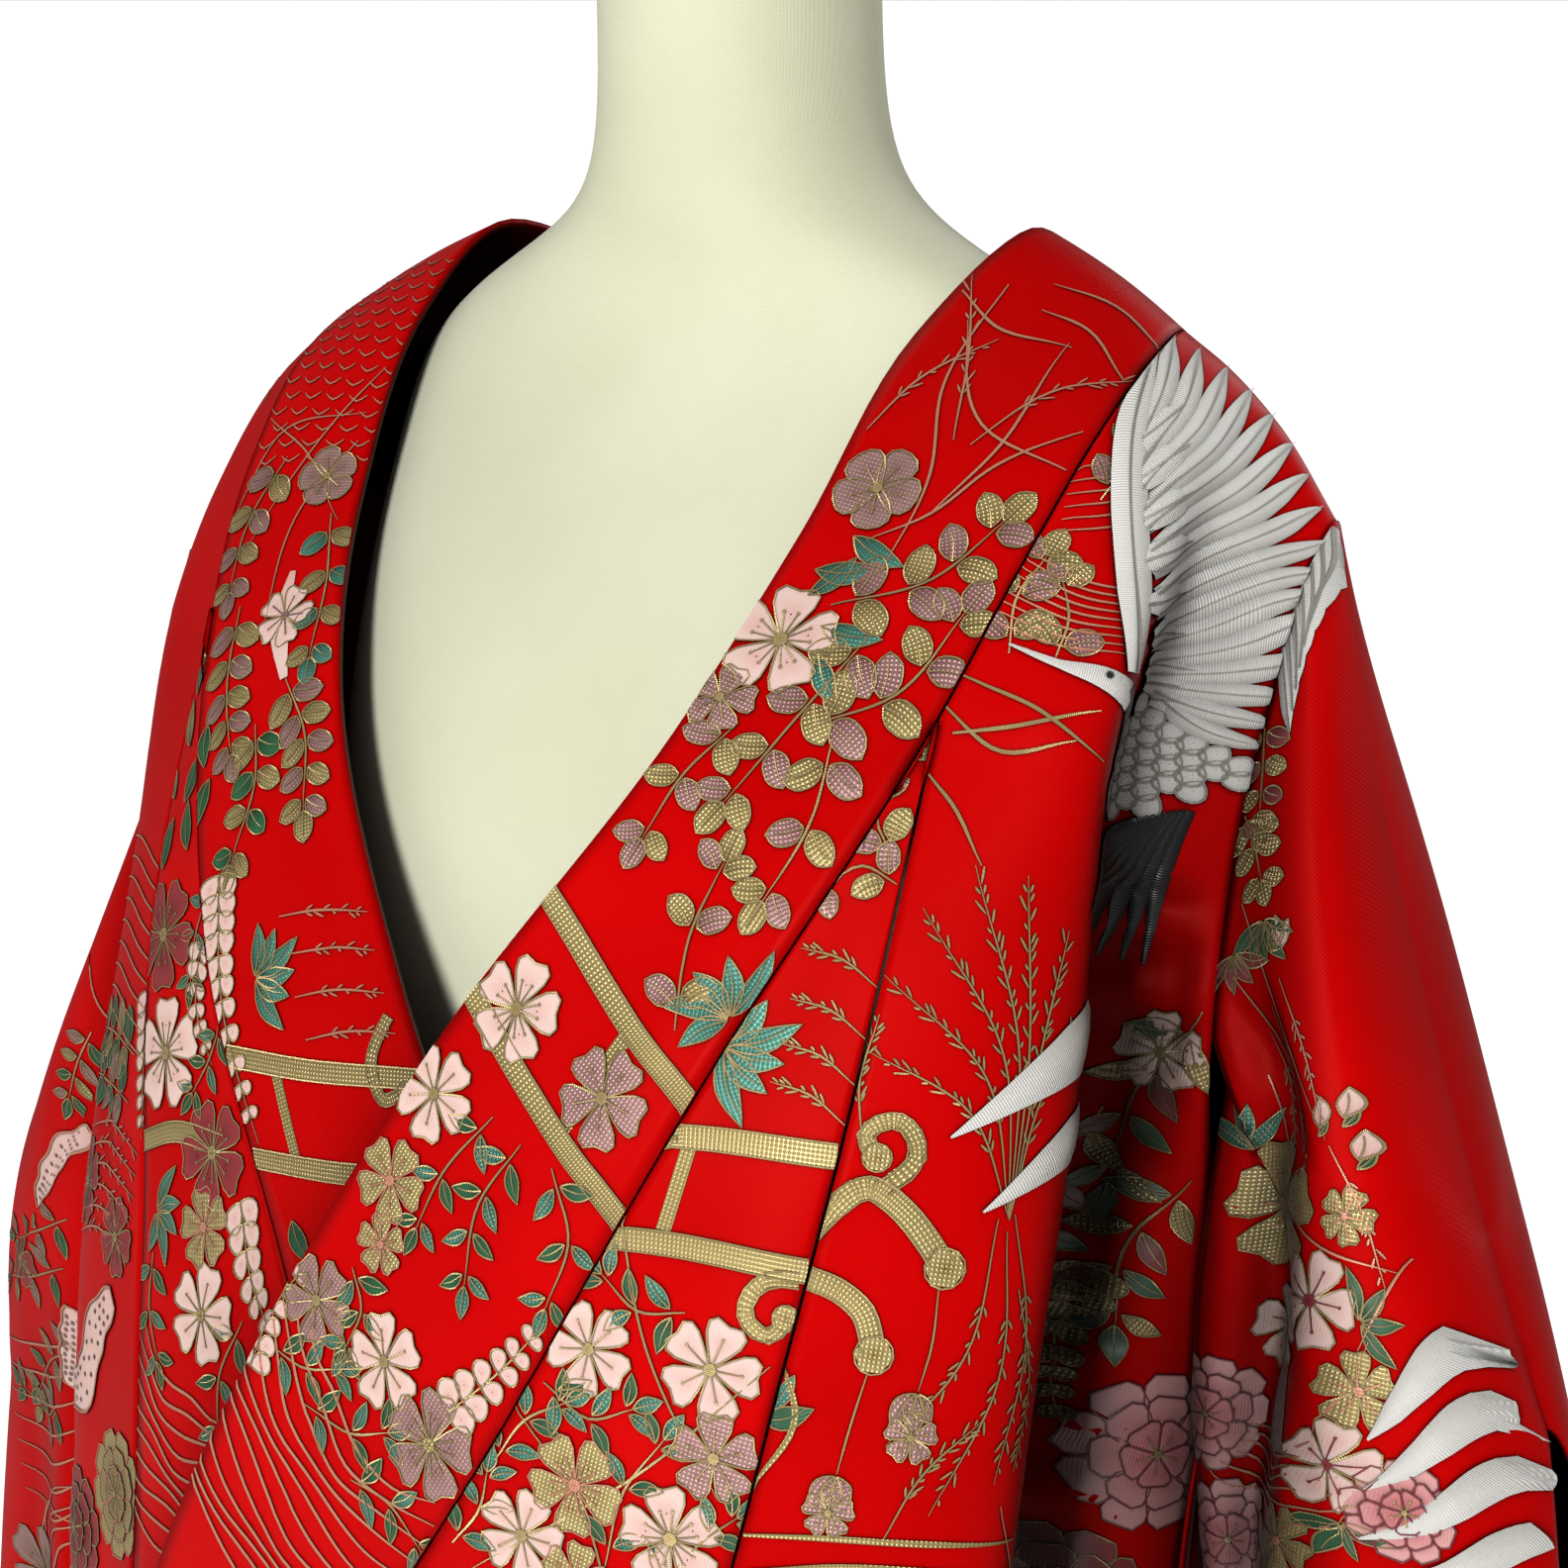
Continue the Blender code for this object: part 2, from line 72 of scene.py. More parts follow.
bpy.ops.mesh.primitive_plane_add(size=FLOOR_SIDE, location=(0.0, 0.0, -FLOOR_DEPTH))
floor = bpy.context.object
floor.name = "floor"
floor_paint = bpy.data.materials.new("floor_paint")
floor_paint.use_nodes = True
floor_shader = floor_paint.node_tree.nodes["Principled BSDF"]
floor_shader.inputs["Base Color"].default_value = (0.86, 0.86, 0.86, 1.0)
floor_shader.inputs["Roughness"].default_value = 0.9
floor_shader.inputs["Emission Color"].default_value = (1.0, 1.0, 1.0, 1.0)
floor_seen = floor_paint.node_tree.nodes.new("ShaderNodeLightPath")
floor_glow = floor_paint.node_tree.nodes.new("ShaderNodeMath")
floor_glow.operation = "MULTIPLY_ADD"
floor_glow.inputs[1].default_value = FLOOR_GLOW_SEEN
floor_glow.inputs[2].default_value = FLOOR_GLOW
floor_paint.node_tree.links.new(floor_seen.outputs["Is Camera Ray"], floor_glow.inputs[0])
floor_paint.node_tree.links.new(floor_glow.outputs["Value"], floor_shader.inputs["Emission Strength"])
floor.data.materials.append(floor_paint)

world = bpy.data.worlds.new("studio")
bpy.context.scene.world = world
world.use_nodes = True
world.node_tree.nodes["Background"].inputs["Color"].default_value = (1.0, 1.0, 1.0, 1.0)
world.node_tree.nodes["Background"].inputs["Strength"].default_value = SKY_STRENGTH

LIGHTS = {
    # place, width, watts
    "key": ((0.75, -3.05, 2.0), 0.7, 80.0),
    "fill": ((2.6, -1.4, 2.6), 1.4, 3.0),
    "back": ((0.8, 2.4, 2.6), 1.8, 30.0),
}
for name, (place, width, watts) in LIGHTS.items():
    lamp = bpy.data.objects.new(name, bpy.data.lights.new(name, "AREA"))
    lamp.data.size = width
    lamp.data.energy = watts
    lamp.location = place
    lamp.rotation_euler = (Vector(place) - LIGHTS_AIM).to_track_quat("Z", "Y").to_euler()
    bpy.context.scene.collection.objects.link(lamp)


# --- Stand: round base and pole ----------------------------------------------------------------
# Turned steel with a satin off-white paint. The base is a disc with a hub, and the pole stands in it.
def paint_nodes(name, colour, roughness):
    """A material with its Principled shader, and short ways to add and join nodes."""
    material = bpy.data.materials.new(name)
    material.use_nodes = True
    tree = material.node_tree
    shader = tree.nodes["Principled BSDF"]
    shader.inputs["Base Color"].default_value = (*colour, 1.0)
    shader.inputs["Roughness"].default_value = roughness

    def add(kind, **settings):
        node = tree.nodes.new(kind)
        for key, value in settings.items():
            if key in node.inputs:
                node.inputs[key].default_value = value
            else:
                setattr(node, key, value)
        return node

    def join(source, target):
        tree.links.new(source, target)

    return material, shader, add, join


def bump_on(shader, add, join, height, strength, distance):
    bump = add("ShaderNodeBump", Strength=strength, Distance=distance)
    join(height, bump.inputs["Height"])
    join(bump.outputs["Normal"], shader.inputs["Normal"])
    return bump


stand_paint, shader, add, join = paint_nodes("stand_paint", (0.78, 0.77, 0.73), 0.34)
shader.inputs["Coat Weight"].default_value = 0.25
place_at = add("ShaderNodeTexCoord")
orange_peel = add("ShaderNodeTexNoise", Scale=900.0, Detail=2.0)
join(place_at.outputs["Object"], orange_peel.inputs["Vector"])
bump_on(shader, add, join, orange_peel.outputs["Fac"], 0.12, 0.0003)
wear = add("ShaderNodeTexNoise", Scale=14.0, Detail=4.0)
join(place_at.outputs["Object"], wear.inputs["Vector"])
wear_range = add("ShaderNodeMapRange")
wear_range.inputs["To Min"].default_value = 0.28
wear_range.inputs["To Max"].default_value = 0.44
join(wear.outputs["Fac"], wear_range.inputs["Value"])
join(wear_range.outputs["Result"], shader.inputs["Roughness"])


def turned(name, profile, steps):
    """A turned solid; the profile runs from the top centre down its outer side."""
    mesh = bpy.data.meshes.new(name)
    shape = bmesh.new()
    points = [shape.verts.new((radius, 0.0, height)) for radius, height in profile]
    edges = [shape.edges.new(pair) for pair in zip(points, points[1:])]
    bmesh.ops.spin(shape, geom=points + edges, cent=(0, 0, 0), axis=(0, 0, 1),
                   angle=math.tau, steps=steps, use_merge=True)
    bmesh.ops.remove_doubles(shape, verts=shape.verts, dist=0.00001)
    bmesh.ops.recalc_face_normals(shape, faces=shape.faces)
    shape.to_mesh(mesh)
    shape.free()
    mesh.shade_smooth()
    mesh.set_sharp_from_angle(angle=math.radians(35))
    piece = bpy.data.objects.new(name, mesh)
    bpy.context.scene.collection.objects.link(piece)
    return piece


def rounded(radius, height, corner, turn):
    """Points of a rounded outer corner; turn is 1 for a top edge and -1 for a bottom one."""
    angles = [math.radians(step * 15) for step in range(7)]
    if turn < 0:
        angles = angles[::-1]
    return [(radius - corner + corner * math.sin(angle), height + turn * (corner * math.cos(angle) - corner))
            for angle in angles]


_, base_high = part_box("form_base")
base_radius, hub_top = base_high[0], base_high[2]
HUB_RADIUS, BASE_THICKNESS = 0.026, 0.010
stand_base = turned("stand_base", [(0.0, hub_top)]
                    + rounded(HUB_RADIUS, hub_top, 0.002, 1)
                    + [(HUB_RADIUS, BASE_THICKNESS + 0.006),
                       (HUB_RADIUS + 0.0018, BASE_THICKNESS + 0.0018),
                       (HUB_RADIUS + 0.006, BASE_THICKNESS)]
                    + rounded(base_radius, BASE_THICKNESS, 0.003, 1)
                    + [(base_radius, 0.0008), (base_radius - 0.0008, 0.0), (0.0, 0.0)], 96)
pole_low, pole_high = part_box("form_pole")
stand_pole = turned("stand_pole", [(0.0, pole_high[2]), (pole_high[0], pole_high[2]),
                                   (pole_high[0], pole_low[2]), (0.0, pole_low[2])], 48)
for piece, node in ((stand_base, "form_base"), (stand_pole, "form_pole")):
    piece.data.materials.append(stand_paint)
    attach(piece, "root")
    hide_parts(node)

# --- Dress form --------------------------------------------------------------------------------
# A limbless padded torso with a neck, covered in cream cotton jersey that is drawn tight over it.
# The collar and shoulders of the garment rest on it.
TORSO_RINGS = [
    # height, half width, half depth, centre in y
    (0.860, 0.140, 0.108, 0.000),
    (0.862, 0.150, 0.116, 0.000),
    (0.885, 0.168, 0.130, 0.000),
    (0.945, 0.174, 0.136, 0.000),
    (1.040, 0.170, 0.134, -0.004),
    (1.120, 0.174, 0.140, -0.010),
    (1.210, 0.184, 0.138, -0.010),
    (1.290, 0.188, 0.112, 0.000),
    (1.345, 0.192, 0.082, 0.014),
    (1.382, 0.182, 0.064, 0.016),
    (1.410, 0.144, 0.055, 0.014),
    (1.430, 0.100, 0.056, 0.010),
    (1.450, 0.067, 0.059, 0.005),
    (1.485, 0.057, 0.056, 0.002),
    (1.560, 0.0575, 0.0565, 0.000),
    (1.594, 0.060, 0.059, 0.000),
    (1.600, 0.054, 0.053, 0.000),
]
RING_POINTS = 16
jersey, shader, add, join = paint_nodes("cream_jersey", (0.86, 0.80, 0.60), 0.78)
shader.inputs["Sheen Weight"].default_value = 0.25
shader.inputs["Sheen Roughness"].default_value = 0.5
shader.inputs["Specular IOR Level"].default_value = 0.25
place_at = add("ShaderNodeTexCoord")
wales = add("ShaderNodeTexWave", wave_type="BANDS", bands_direction="X", Scale=420.0, Distortion=0.6)
courses = add("ShaderNodeTexWave", wave_type="BANDS", bands_direction="Z", Scale=330.0, Distortion=0.6)
knit = add("ShaderNodeMath", operation="MULTIPLY")
for wave, socket in ((wales, 0), (courses, 1)):
    join(place_at.outputs["Object"], wave.inputs["Vector"])
    join(wave.outputs["Fac"], knit.inputs[socket])
bump_on(shader, add, join, knit.outputs["Value"], 0.25, 0.0004)
shade = add("ShaderNodeTexNoise", Scale=9.0, Detail=3.0)
join(place_at.outputs["Object"], shade.inputs["Vector"])
ramp = add("ShaderNodeValToRGB")
ramp.color_ramp.elements[0].position, ramp.color_ramp.elements[1].position = 0.3, 0.7
ramp.color_ramp.elements[0].color = (0.80, 0.80, 0.56, 1.0)
ramp.color_ramp.elements[1].color = (0.88, 0.88, 0.66, 1.0)
join(shade.outputs["Fac"], ramp.inputs["Fac"])
join(ramp.outputs["Color"], shader.inputs["Base Color"])

mesh = bpy.data.meshes.new("padded_torso")
cage = bmesh.new()
loops = []
turns = [math.tau * number / RING_POINTS for number in range(RING_POINTS)]
for height, half_width, half_depth, centre_y in TORSO_RINGS:
    ring = [(half_width * math.cos(turn), centre_y + half_depth * math.sin(turn), height) for turn in turns]
    loops.append([cage.verts.new(point) for point in ring])
for lower, upper in zip(loops, loops[1:]):
    for number in range(RING_POINTS):
        after = (number + 1) % RING_POINTS
        cage.faces.new((lower[number], lower[after], upper[after], upper[number]))
cage.faces.new(loops[0][::-1])
cage.faces.new(loops[-1])
cage.to_mesh(mesh)
cage.free()
mesh.shade_smooth()
mesh.materials.append(jersey)
torso = bpy.data.objects.new("padded_torso", mesh)
bpy.context.scene.collection.objects.link(torso)
rounding = torso.modifiers.new("rounding", "SUBSURF")
rounding.levels = 3
rounding.render_levels = 3
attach(torso, "root")
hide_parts("form_torso")

# --- Body: two lengths of cloth (migoro) -------------------------------------------------------
# Silk satin, its wall as thick as the lined cloth. Each length runs from the front hem over the
# shoulder to the back hem. The two are sewn together down the centre back, and each is closed at
# the side seam.
CM = 0.01
# Stations across a row run from the front edge to the side: the collar's free edge, its seam,
# the okumi's seam, the rounded fold outside the front, the recess behind it, and the side seam.
SKIRT = [
    # z     seam            okumi           ridge           valley          outer
    (0.4, (9.5, -33.0), (22.8, -28.4), (29.0, -19.2), (28.3, -14.6), (29.2, -4.0)),
    (2.2, (8.2, -31.2), (21.6, -27.0), (27.9, -18.4), (27.1, -14.0), (28.0, -3.9)),
    (18.0, (4.8, -28.6), (17.8, -25.8), (24.8, -17.8), (23.6, -13.8), (26.2, -3.7)),
    (45.0, (1.2, -27.2), (13.6, -25.6), (22.6, -18.6), (21.1, -14.6), (25.0, -4.1)),
]
FRONT_LEFT = [
    # z     edge             seam            okumi           ridge           valley          outer
    (70.0, (-13.6, -25.2), (-2.2, -26.8), (14.0, -24.6), (23.0, -18.0), (21.3, -14.2), (24.4, -4.1)),
    (90.0, (-10.8, -24.6), (0.8, -25.0), (15.0, -22.6), (23.8, -16.6), (22.0, -12.8), (24.6, -3.0)),
    (103.0, (-4.5, -23.6), (7.8, -23.2), (17.2, -20.6), (23.8, -14.0), (22.0, -10.4), (24.8, -2.2)),
    (115.8, (2.5, -20.4), (13.7, -19.3), (18.8, -17.4), (23.6, -10.8), (21.9, -7.2), (25.0, -4.0)),
]
FRONT_RIGHT = [
    (70.0, (12.8, -22.6), (1.6, -25.0), (-15.0, -24.0), (-23.4, -17.8), (-21.8, -14.0), (-24.4, -4.1)),
    (90.0, (11.2, -20.8), (0.2, -22.8), (-14.2, -22.2), (-23.8, -15.8), (-22.3, -12.0), (-24.6, -3.0)),
    (103.0, (7.0, -20.2), (-5.0, -21.2), (-15.0, -20.2), (-24.6, -13.4), (-23.2, -9.8), (-24.8, -2.2)),
    (115.8, (-2.2, -17.8), (-13.6, -17.4), (-18.4, -15.8), (-24.8, -10.2), (-23.6, -6.8), (-27.0, -3.6)),
]
SHOULDER_LEFT = [
    # edge                seam                  ridge                 valley                outer
    ((9, -15, 126.9), (18.1, -11.6, 128.1), (22.9, -8.2, 127.6), (21.7, -4.8, 126.8), (25, -1.6, 125.8)),
    ((10.4, -9.4, 133.5), (18.9, -7.8, 133), (22.7, -5.2, 132), (22.2, -2.6, 131), (25.3, -0.2, 129.8)),
    ((11.2, -3.6, 140.2), (19.6, -3, 138.1), (21.9, -1.8, 136.6), (22.8, -0.6, 135), (25.6, 0.8, 132.4)),
    ((13.1, 1.2, 143.9), (19.5, 1.2, 140.4), (21.5, 1.6, 139), (23.3, 2, 137.2), (25.8, 2.2, 133.8)),
]
SHOULDER_RIGHT = [
    ((-10.8, -12.2, 126.4), (-19.6, -10.8, 127.6), (-25.2, -7.8, 126.2), (-24, -4.6, 125.4),
     (-27.2, -1.4, 124.4)),
    ((-14.3, -7.2, 132.5), (-21.2, -7.2, 132.6), (-25.4, -4.8, 131.2), (-24.8, -2.4, 129.8),
     (-27.7, -0.2, 128.2)),
    ((-14.8, -2.6, 139.8), (-21.2, -2.8, 138), (-24.3, -1.4, 136.2), (-25.4, -0.4, 134.2),
     (-28.2, 0.8, 131.2)),
    ((-14.1, 1.2, 143), (-20.8, 1.2, 139.8), (-23.6, 1.6, 137.8), (-25.7, 2, 135.6),
     (-28.5, 2.2, 132.5)),
]
NECK = [
    ((12.2, 6.8, 141.6), (15.8, 7.8, 137.2), (18.4, 6.8, 136.4), (21.8, 5.4, 133.8), (25.3, 4.0, 131.2)),
    ((7.6, 11.6, 141.0), (9.4, 13.6, 134.4), (14.6, 12.8, 133.2), (19.8, 10.0, 130.2), (24.9, 6.4, 126.8)),
    ((0.0, 13.4, 141.0), (0.0, 15.6, 133.4), (9.2, 15.6, 130.0), (17.2, 13.0, 125.8), (24.8, 8.2, 121.8)),
]
BACK = [
    # centre           second              third               outer
    ((0.0, 16.2, 122.0), (9.2, 16.0, 120.5), (17.6, 13.2, 118.0), (24.6, 7.6, 115.8)),
    ((0.0, 15.4, 105.0), (10.4, 14.6, 104.6), (20.0, 9.2, 104.0), (24.8, -2.2, 103.0)),
    ((0.0, 15.8, 72.0), (12.2, 14.6, 71.5), (22.2, 7.4, 71.0), (24.4, -4.1, 70.0)),
    ((0.0, 17.6, 45.0), (13.6, 15.8, 45.0), (23.6, 8.2, 45.0), (25.0, -4.1, 45.0)),
    ((0.0, 20.6, 18.0), (14.6, 18.2, 18.0), (25.0, 9.4, 18.0), (26.2, -3.7, 18.0)),
    ((0.0, 27.0, 2.2), (16.0, 22.4, 2.2), (26.2, 10.6, 2.2), (28.0, -3.9, 2.2)),
    ((0.0, 35.0, 0.4), (18.0, 28.4, 0.4), (27.8, 12.6, 0.4), (29.2, -4.0, 0.4)),
]
COLLAR_FIRST = len(SKIRT)
KEN_SAKI = COLLAR_FIRST + len(FRONT_LEFT)
SHOULDER_LINE = KEN_SAKI + len(SHOULDER_LEFT) - 1
NECK_BACK = SHOULDER_LINE + len(NECK)
ARMHOLE = (KEN_SAKI - 1, NECK_BACK + 1)
ROW_STEPS = [4, 18, 28, 28, 20, 16, 16, 16, 8, 8, 8, 8, 8, 8, 16, 20, 32, 28, 28, 20, 8]
COLLAR_END_RISE = 0.048
OKUMI_TIP = 0.06
SEAM_INSET = 0.0006
LINED_CLOTH = 0.0016


def smooth(points, index, share):
    """Point on a smooth curve through the points, at a share of the way from one to the next."""
    before, start, end, after = (points[max(index - 1, 0)], points[index], points[index + 1],
                                 points[min(index + 2, len(points) - 1)])
    span = max((end - start).length, 1e-6)

    def slope(a, b, c):
        first, second = max((b - a).length, 1e-6), max((c - b).length, 1e-6)
        return ((b - a) / first * second + (c - b) / second * first) / (first + second)

    leave = slope(before, start, end) if index > 0 else (end - start) / span
    arrive = slope(start, end, after) if index + 2 < len(points) else (end - start) / span
    t2, t3 = share * share, share ** 3
    return (start * (2 * t3 - 3 * t2 + 1) + leave * span * (t3 - 2 * t2 + share)
            + end * (3 * t2 - 2 * t3) + arrive * span * (t3 - t2))


def rows_of(side, front, shoulder):
    """Columns of points, one for each station, for one side of the garment."""
    columns = {name: {} for name in ("edge", "seam", "okumi", "ridge", "valley", "outer", "centre")}

    def put(number, names, points):
        for name, point in zip(names, points):
            columns[name][number] = Vector(point) * CM

    lower = ("seam", "okumi", "ridge", "valley", "outer")
    for number, (height, *stations) in enumerate(SKIRT):
        put(number, lower, [(side * x, y, height) for x, y in stations])
    for number, (height, *stations) in enumerate(front, COLLAR_FIRST):
        put(number, ("edge", *lower), [(x, y, height) for x, y in stations])
    columns["edge"][COLLAR_FIRST].z += COLLAR_END_RISE
    upper = ("edge", "seam", "ridge", "valley", "outer")
    for number, row in enumerate(shoulder, KEN_SAKI):
        put(number, upper, row)
    for number, row in enumerate(NECK, SHOULDER_LINE + 1):
        put(number, upper, [(side * x, y, z) for x, y, z in row])
    columns["okumi"][KEN_SAKI] = columns["seam"][KEN_SAKI]
    columns["centre"][NECK_BACK] = columns["seam"][NECK_BACK]
    for number, row in enumerate(BACK, NECK_BACK + 1):
        put(number, ("centre", "ridge", "valley", "outer"), [(side * x, y, z) for x, y, z in row])
    for name in ("edge", "seam"):
        beyond = columns[name][NECK_BACK - 1].copy()
        beyond.x = -beyond.x
        columns[name][NECK_BACK + 1] = beyond
    return columns


def column_point(column, row):
    first = min(column)
    points = [column[number] for number in sorted(column)]
    index = min(int(row - first), len(points) - 2)
    return smooth(points, index, row - first - index)


def row_numbers(first, last):
    numbers = [first + step / ROW_STEPS[first] for step in range(ROW_STEPS[first])]
    for row in range(first + 1, last):
        numbers += [row + step / ROW_STEPS[row] for step in range(ROW_STEPS[row])]
    return numbers + [float(last)]


def across(stations, steps, first=0):
    points = []
    for index, count in enumerate(steps, first):
        points += [smooth(stations, index, step / count) for step in range(count)]
    return points + [smooth(stations, first + len(steps) - 1, 1.0)]


def lengths_along(points):
    """Distance run at each of a line of points."""
    return np.concatenate([[0.0], np.cumsum(np.linalg.norm(np.diff(points, axis=0), axis=1))])


def flatten(grid, reference):
    """Flat coordinates of a grid of points, across and along, measured from one of its columns."""
    spine = grid[:, reference]
    run = np.gradient(spine, axis=0)
    run /= np.linalg.norm(run, axis=1, keepdims=True)
    steps = np.diff(grid, axis=1)
    forward = np.einsum("rsk,rk->rs", steps, run)
    sideways = np.sqrt(np.maximum((steps ** 2).sum(axis=2) - forward ** 2, 1e-14))
    start = np.zeros((len(grid), 1))
    over = np.hstack([start, np.cumsum(sideways, axis=1)])
    ahead = np.hstack([start, np.cumsum(forward, axis=1)])
    ahead -= ahead[:, reference:reference + 1]
    return np.stack([over - over[:, reference:reference + 1],
                     lengths_along(spine)[:, None] + ahead], axis=-1)


def crease_cloth(grid, flat, creases, sign):
    """Push a grid of points out (or in, for a trough) along lines drawn on the flat cloth."""
    down = np.gradient(grid, axis=0)
    over = np.gradient(grid, axis=1)
    normal = np.cross(over, down) * sign
    normal /= np.maximum(np.linalg.norm(normal, axis=2, keepdims=True), 1e-12)
    push = np.zeros(grid.shape[:2])
    for points, width, depth in creases:
        line = [Vector((*point, 0.0)) * CM for point in points]
        dense = np.array([smooth(line, index, step / 10) for index in range(len(line) - 1)
                          for step in range(10)] + [line[-1]])[:, :2]
        away = np.linalg.norm(flat[:, :, None, :] - dense[None, None], axis=3)
        nearest = away.argmin(axis=2)
        taper = np.sin(math.pi * np.clip(nearest / (len(dense) - 1), 0.0, 1.0)) ** 0.7
        push += depth * CM * taper * np.exp(-(away.min(axis=2) / (width * CM)) ** 2)
    stations, rows = np.arange(grid.shape[1]), np.arange(grid.shape[0])
    fade = np.minimum(1.0, np.minimum(stations, stations[::-1]) / 3.0)[None, :]
    fade = fade * np.minimum(1.0, np.minimum(rows, rows[::-1]) / 3.0)[:, None]
    return grid + normal * (push * fade)[:, :, None]


def quads(rows, stations):
    """Faces of a grid of points that are counted row by row."""
    index = np.arange(rows * stations).reshape(rows, stations)
    return np.stack([index[:-1, :-1], index[:-1, 1:], index[1:, 1:], index[1:, :-1]], axis=-1).reshape(-1, 4)


drawing_cloth = []        # outer faces of all the cloth, which the figured design is laid on


def cloth_piece(name, node, grid, flat, side, wall, back_flat=None, fold_row=0):
    """One piece of cloth from its points and its flat coordinates, with its wall inwards.

    A sleeve has a second set of flat coordinates, for the rows behind its fold.
    """
    rows, stations = grid.shape[:2]
    faces = quads(rows, stations)
    if side < 0:
        faces = faces[:, ::-1]
    mesh = bpy.data.meshes.new(name)
    mesh.from_pydata(grid.reshape(-1, 3).tolist(), [], faces.tolist())
    corners = flat.reshape(-1, 2)[faces]
    if back_flat is not None:
        behind = fold_row * (stations - 1)
        corners[behind:] = back_flat.reshape(-1, 2)[faces[behind:]]
    layer = mesh.uv_layers.new(name="flat")
    layer.data.foreach_set("uv", corners.astype(np.float32).ravel())
    mesh.shade_smooth()
    outward = np.cross(np.gradient(grid, axis=1), np.gradient(grid, axis=0)) * side
    outward /= np.maximum(np.linalg.norm(outward, axis=2, keepdims=True), 1e-12)
    drawing_cloth.append((grid.reshape(-1, 3)[faces], outward.reshape(-1, 3)[faces], corners))
    piece = bpy.data.objects.new(name, mesh)
    bpy.context.scene.collection.objects.link(piece)
    mesh.materials.append(red_satin)
    solid = piece.modifiers.new("wall", "SOLIDIFY")
    solid.thickness = wall
    solid.offset = -1.0
    solid.use_even_offset = False
    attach(piece, "root")
    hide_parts(node)
    return piece


FOLD_SHADE_REACH, FOLD_SHADE_POWER = 0.17, 2.8        # reach and strength of the painted shade in folds: how near is close, and how fast the shade deepens


def paint_fold_shade(shader, add, join, colour):
    """Painted shade: a darker base colour where the cloth lies close to itself in a fold, or near other
    surfaces.
    """
    near = add("ShaderNodeAmbientOcclusion", samples=6, Distance=FOLD_SHADE_REACH)
    depth = add("ShaderNodeMath", operation="POWER")
    depth.inputs[1].default_value = FOLD_SHADE_POWER
    join(near.outputs["AO"], depth.inputs[0])
    shaded = add("ShaderNodeVectorMath", operation="SCALE")
    join(colour, shaded.inputs["Vector"])
    join(depth.outputs["Value"], shaded.inputs["Scale"])
    join(shaded.outputs["Vector"], shader.inputs["Base Color"])


red_satin, shader, add, join = paint_nodes("red_satin", (0.60, 0.002, 0.004), 0.40)
shader.inputs["Sheen Weight"].default_value = 0.05
shader.inputs["Sheen Roughness"].default_value = 0.30
shader.inputs["Sheen Tint"].default_value = (1.0, 0.03, 0.02, 1.0)
shader.inputs["Specular IOR Level"].default_value = 0.20
shader.inputs["Specular Tint"].default_value = (1.0, 0.10, 0.08, 1.0)
shader.inputs["Anisotropic"].default_value = 0.5
flat_map = add("ShaderNodeUVMap", uv_map="flat")
satin = add("ShaderNodeTexWave", wave_type="BANDS", bands_direction="DIAGONAL", Scale=520.0, Distortion=0.4)
join(flat_map.outputs["UV"], satin.inputs["Vector"])
slub = add("ShaderNodeTexNoise", Scale=1.0, Detail=3.0)
stretch = add("ShaderNodeMapping")
stretch.inputs["Scale"].default_value = (900.0, 60.0, 1.0)
join(flat_map.outputs["UV"], stretch.inputs["Vector"])
join(stretch.outputs["Vector"], slub.inputs["Vector"])
weave = add("ShaderNodeMath", operation="MULTIPLY_ADD")
weave.inputs[1].default_value = 0.5
join(slub.outputs["Fac"], weave.inputs[0])
join(satin.outputs["Fac"], weave.inputs[2])
bump_on(shader, add, join, weave.outputs["Value"], 0.16, 0.0003)
drift = add("ShaderNodeTexNoise", Scale=7.0, Detail=2.0)
join(flat_map.outputs["UV"], drift.inputs["Vector"])
reds = add("ShaderNodeValToRGB")
reds.color_ramp.elements[0].position, reds.color_ramp.elements[1].position = 0.35, 0.7
reds.color_ramp.elements[0].color = (0.56, 0.0004, 0.0008, 1.0)
reds.color_ramp.elements[1].color = (0.72, 0.0008, 0.0014, 1.0)
join(drift.outputs["Fac"], reds.inputs["Fac"])
# Painted shade: the red is darkened in folds and recesses, where the cloth lies close to other surfaces.
paint_fold_shade(shader, add, join, reds.outputs["Color"])

sides = {"left": (1, rows_of(1, FRONT_LEFT, SHOULDER_LEFT)),
         "right": (-1, rows_of(-1, FRONT_RIGHT, SHOULDER_RIGHT))}
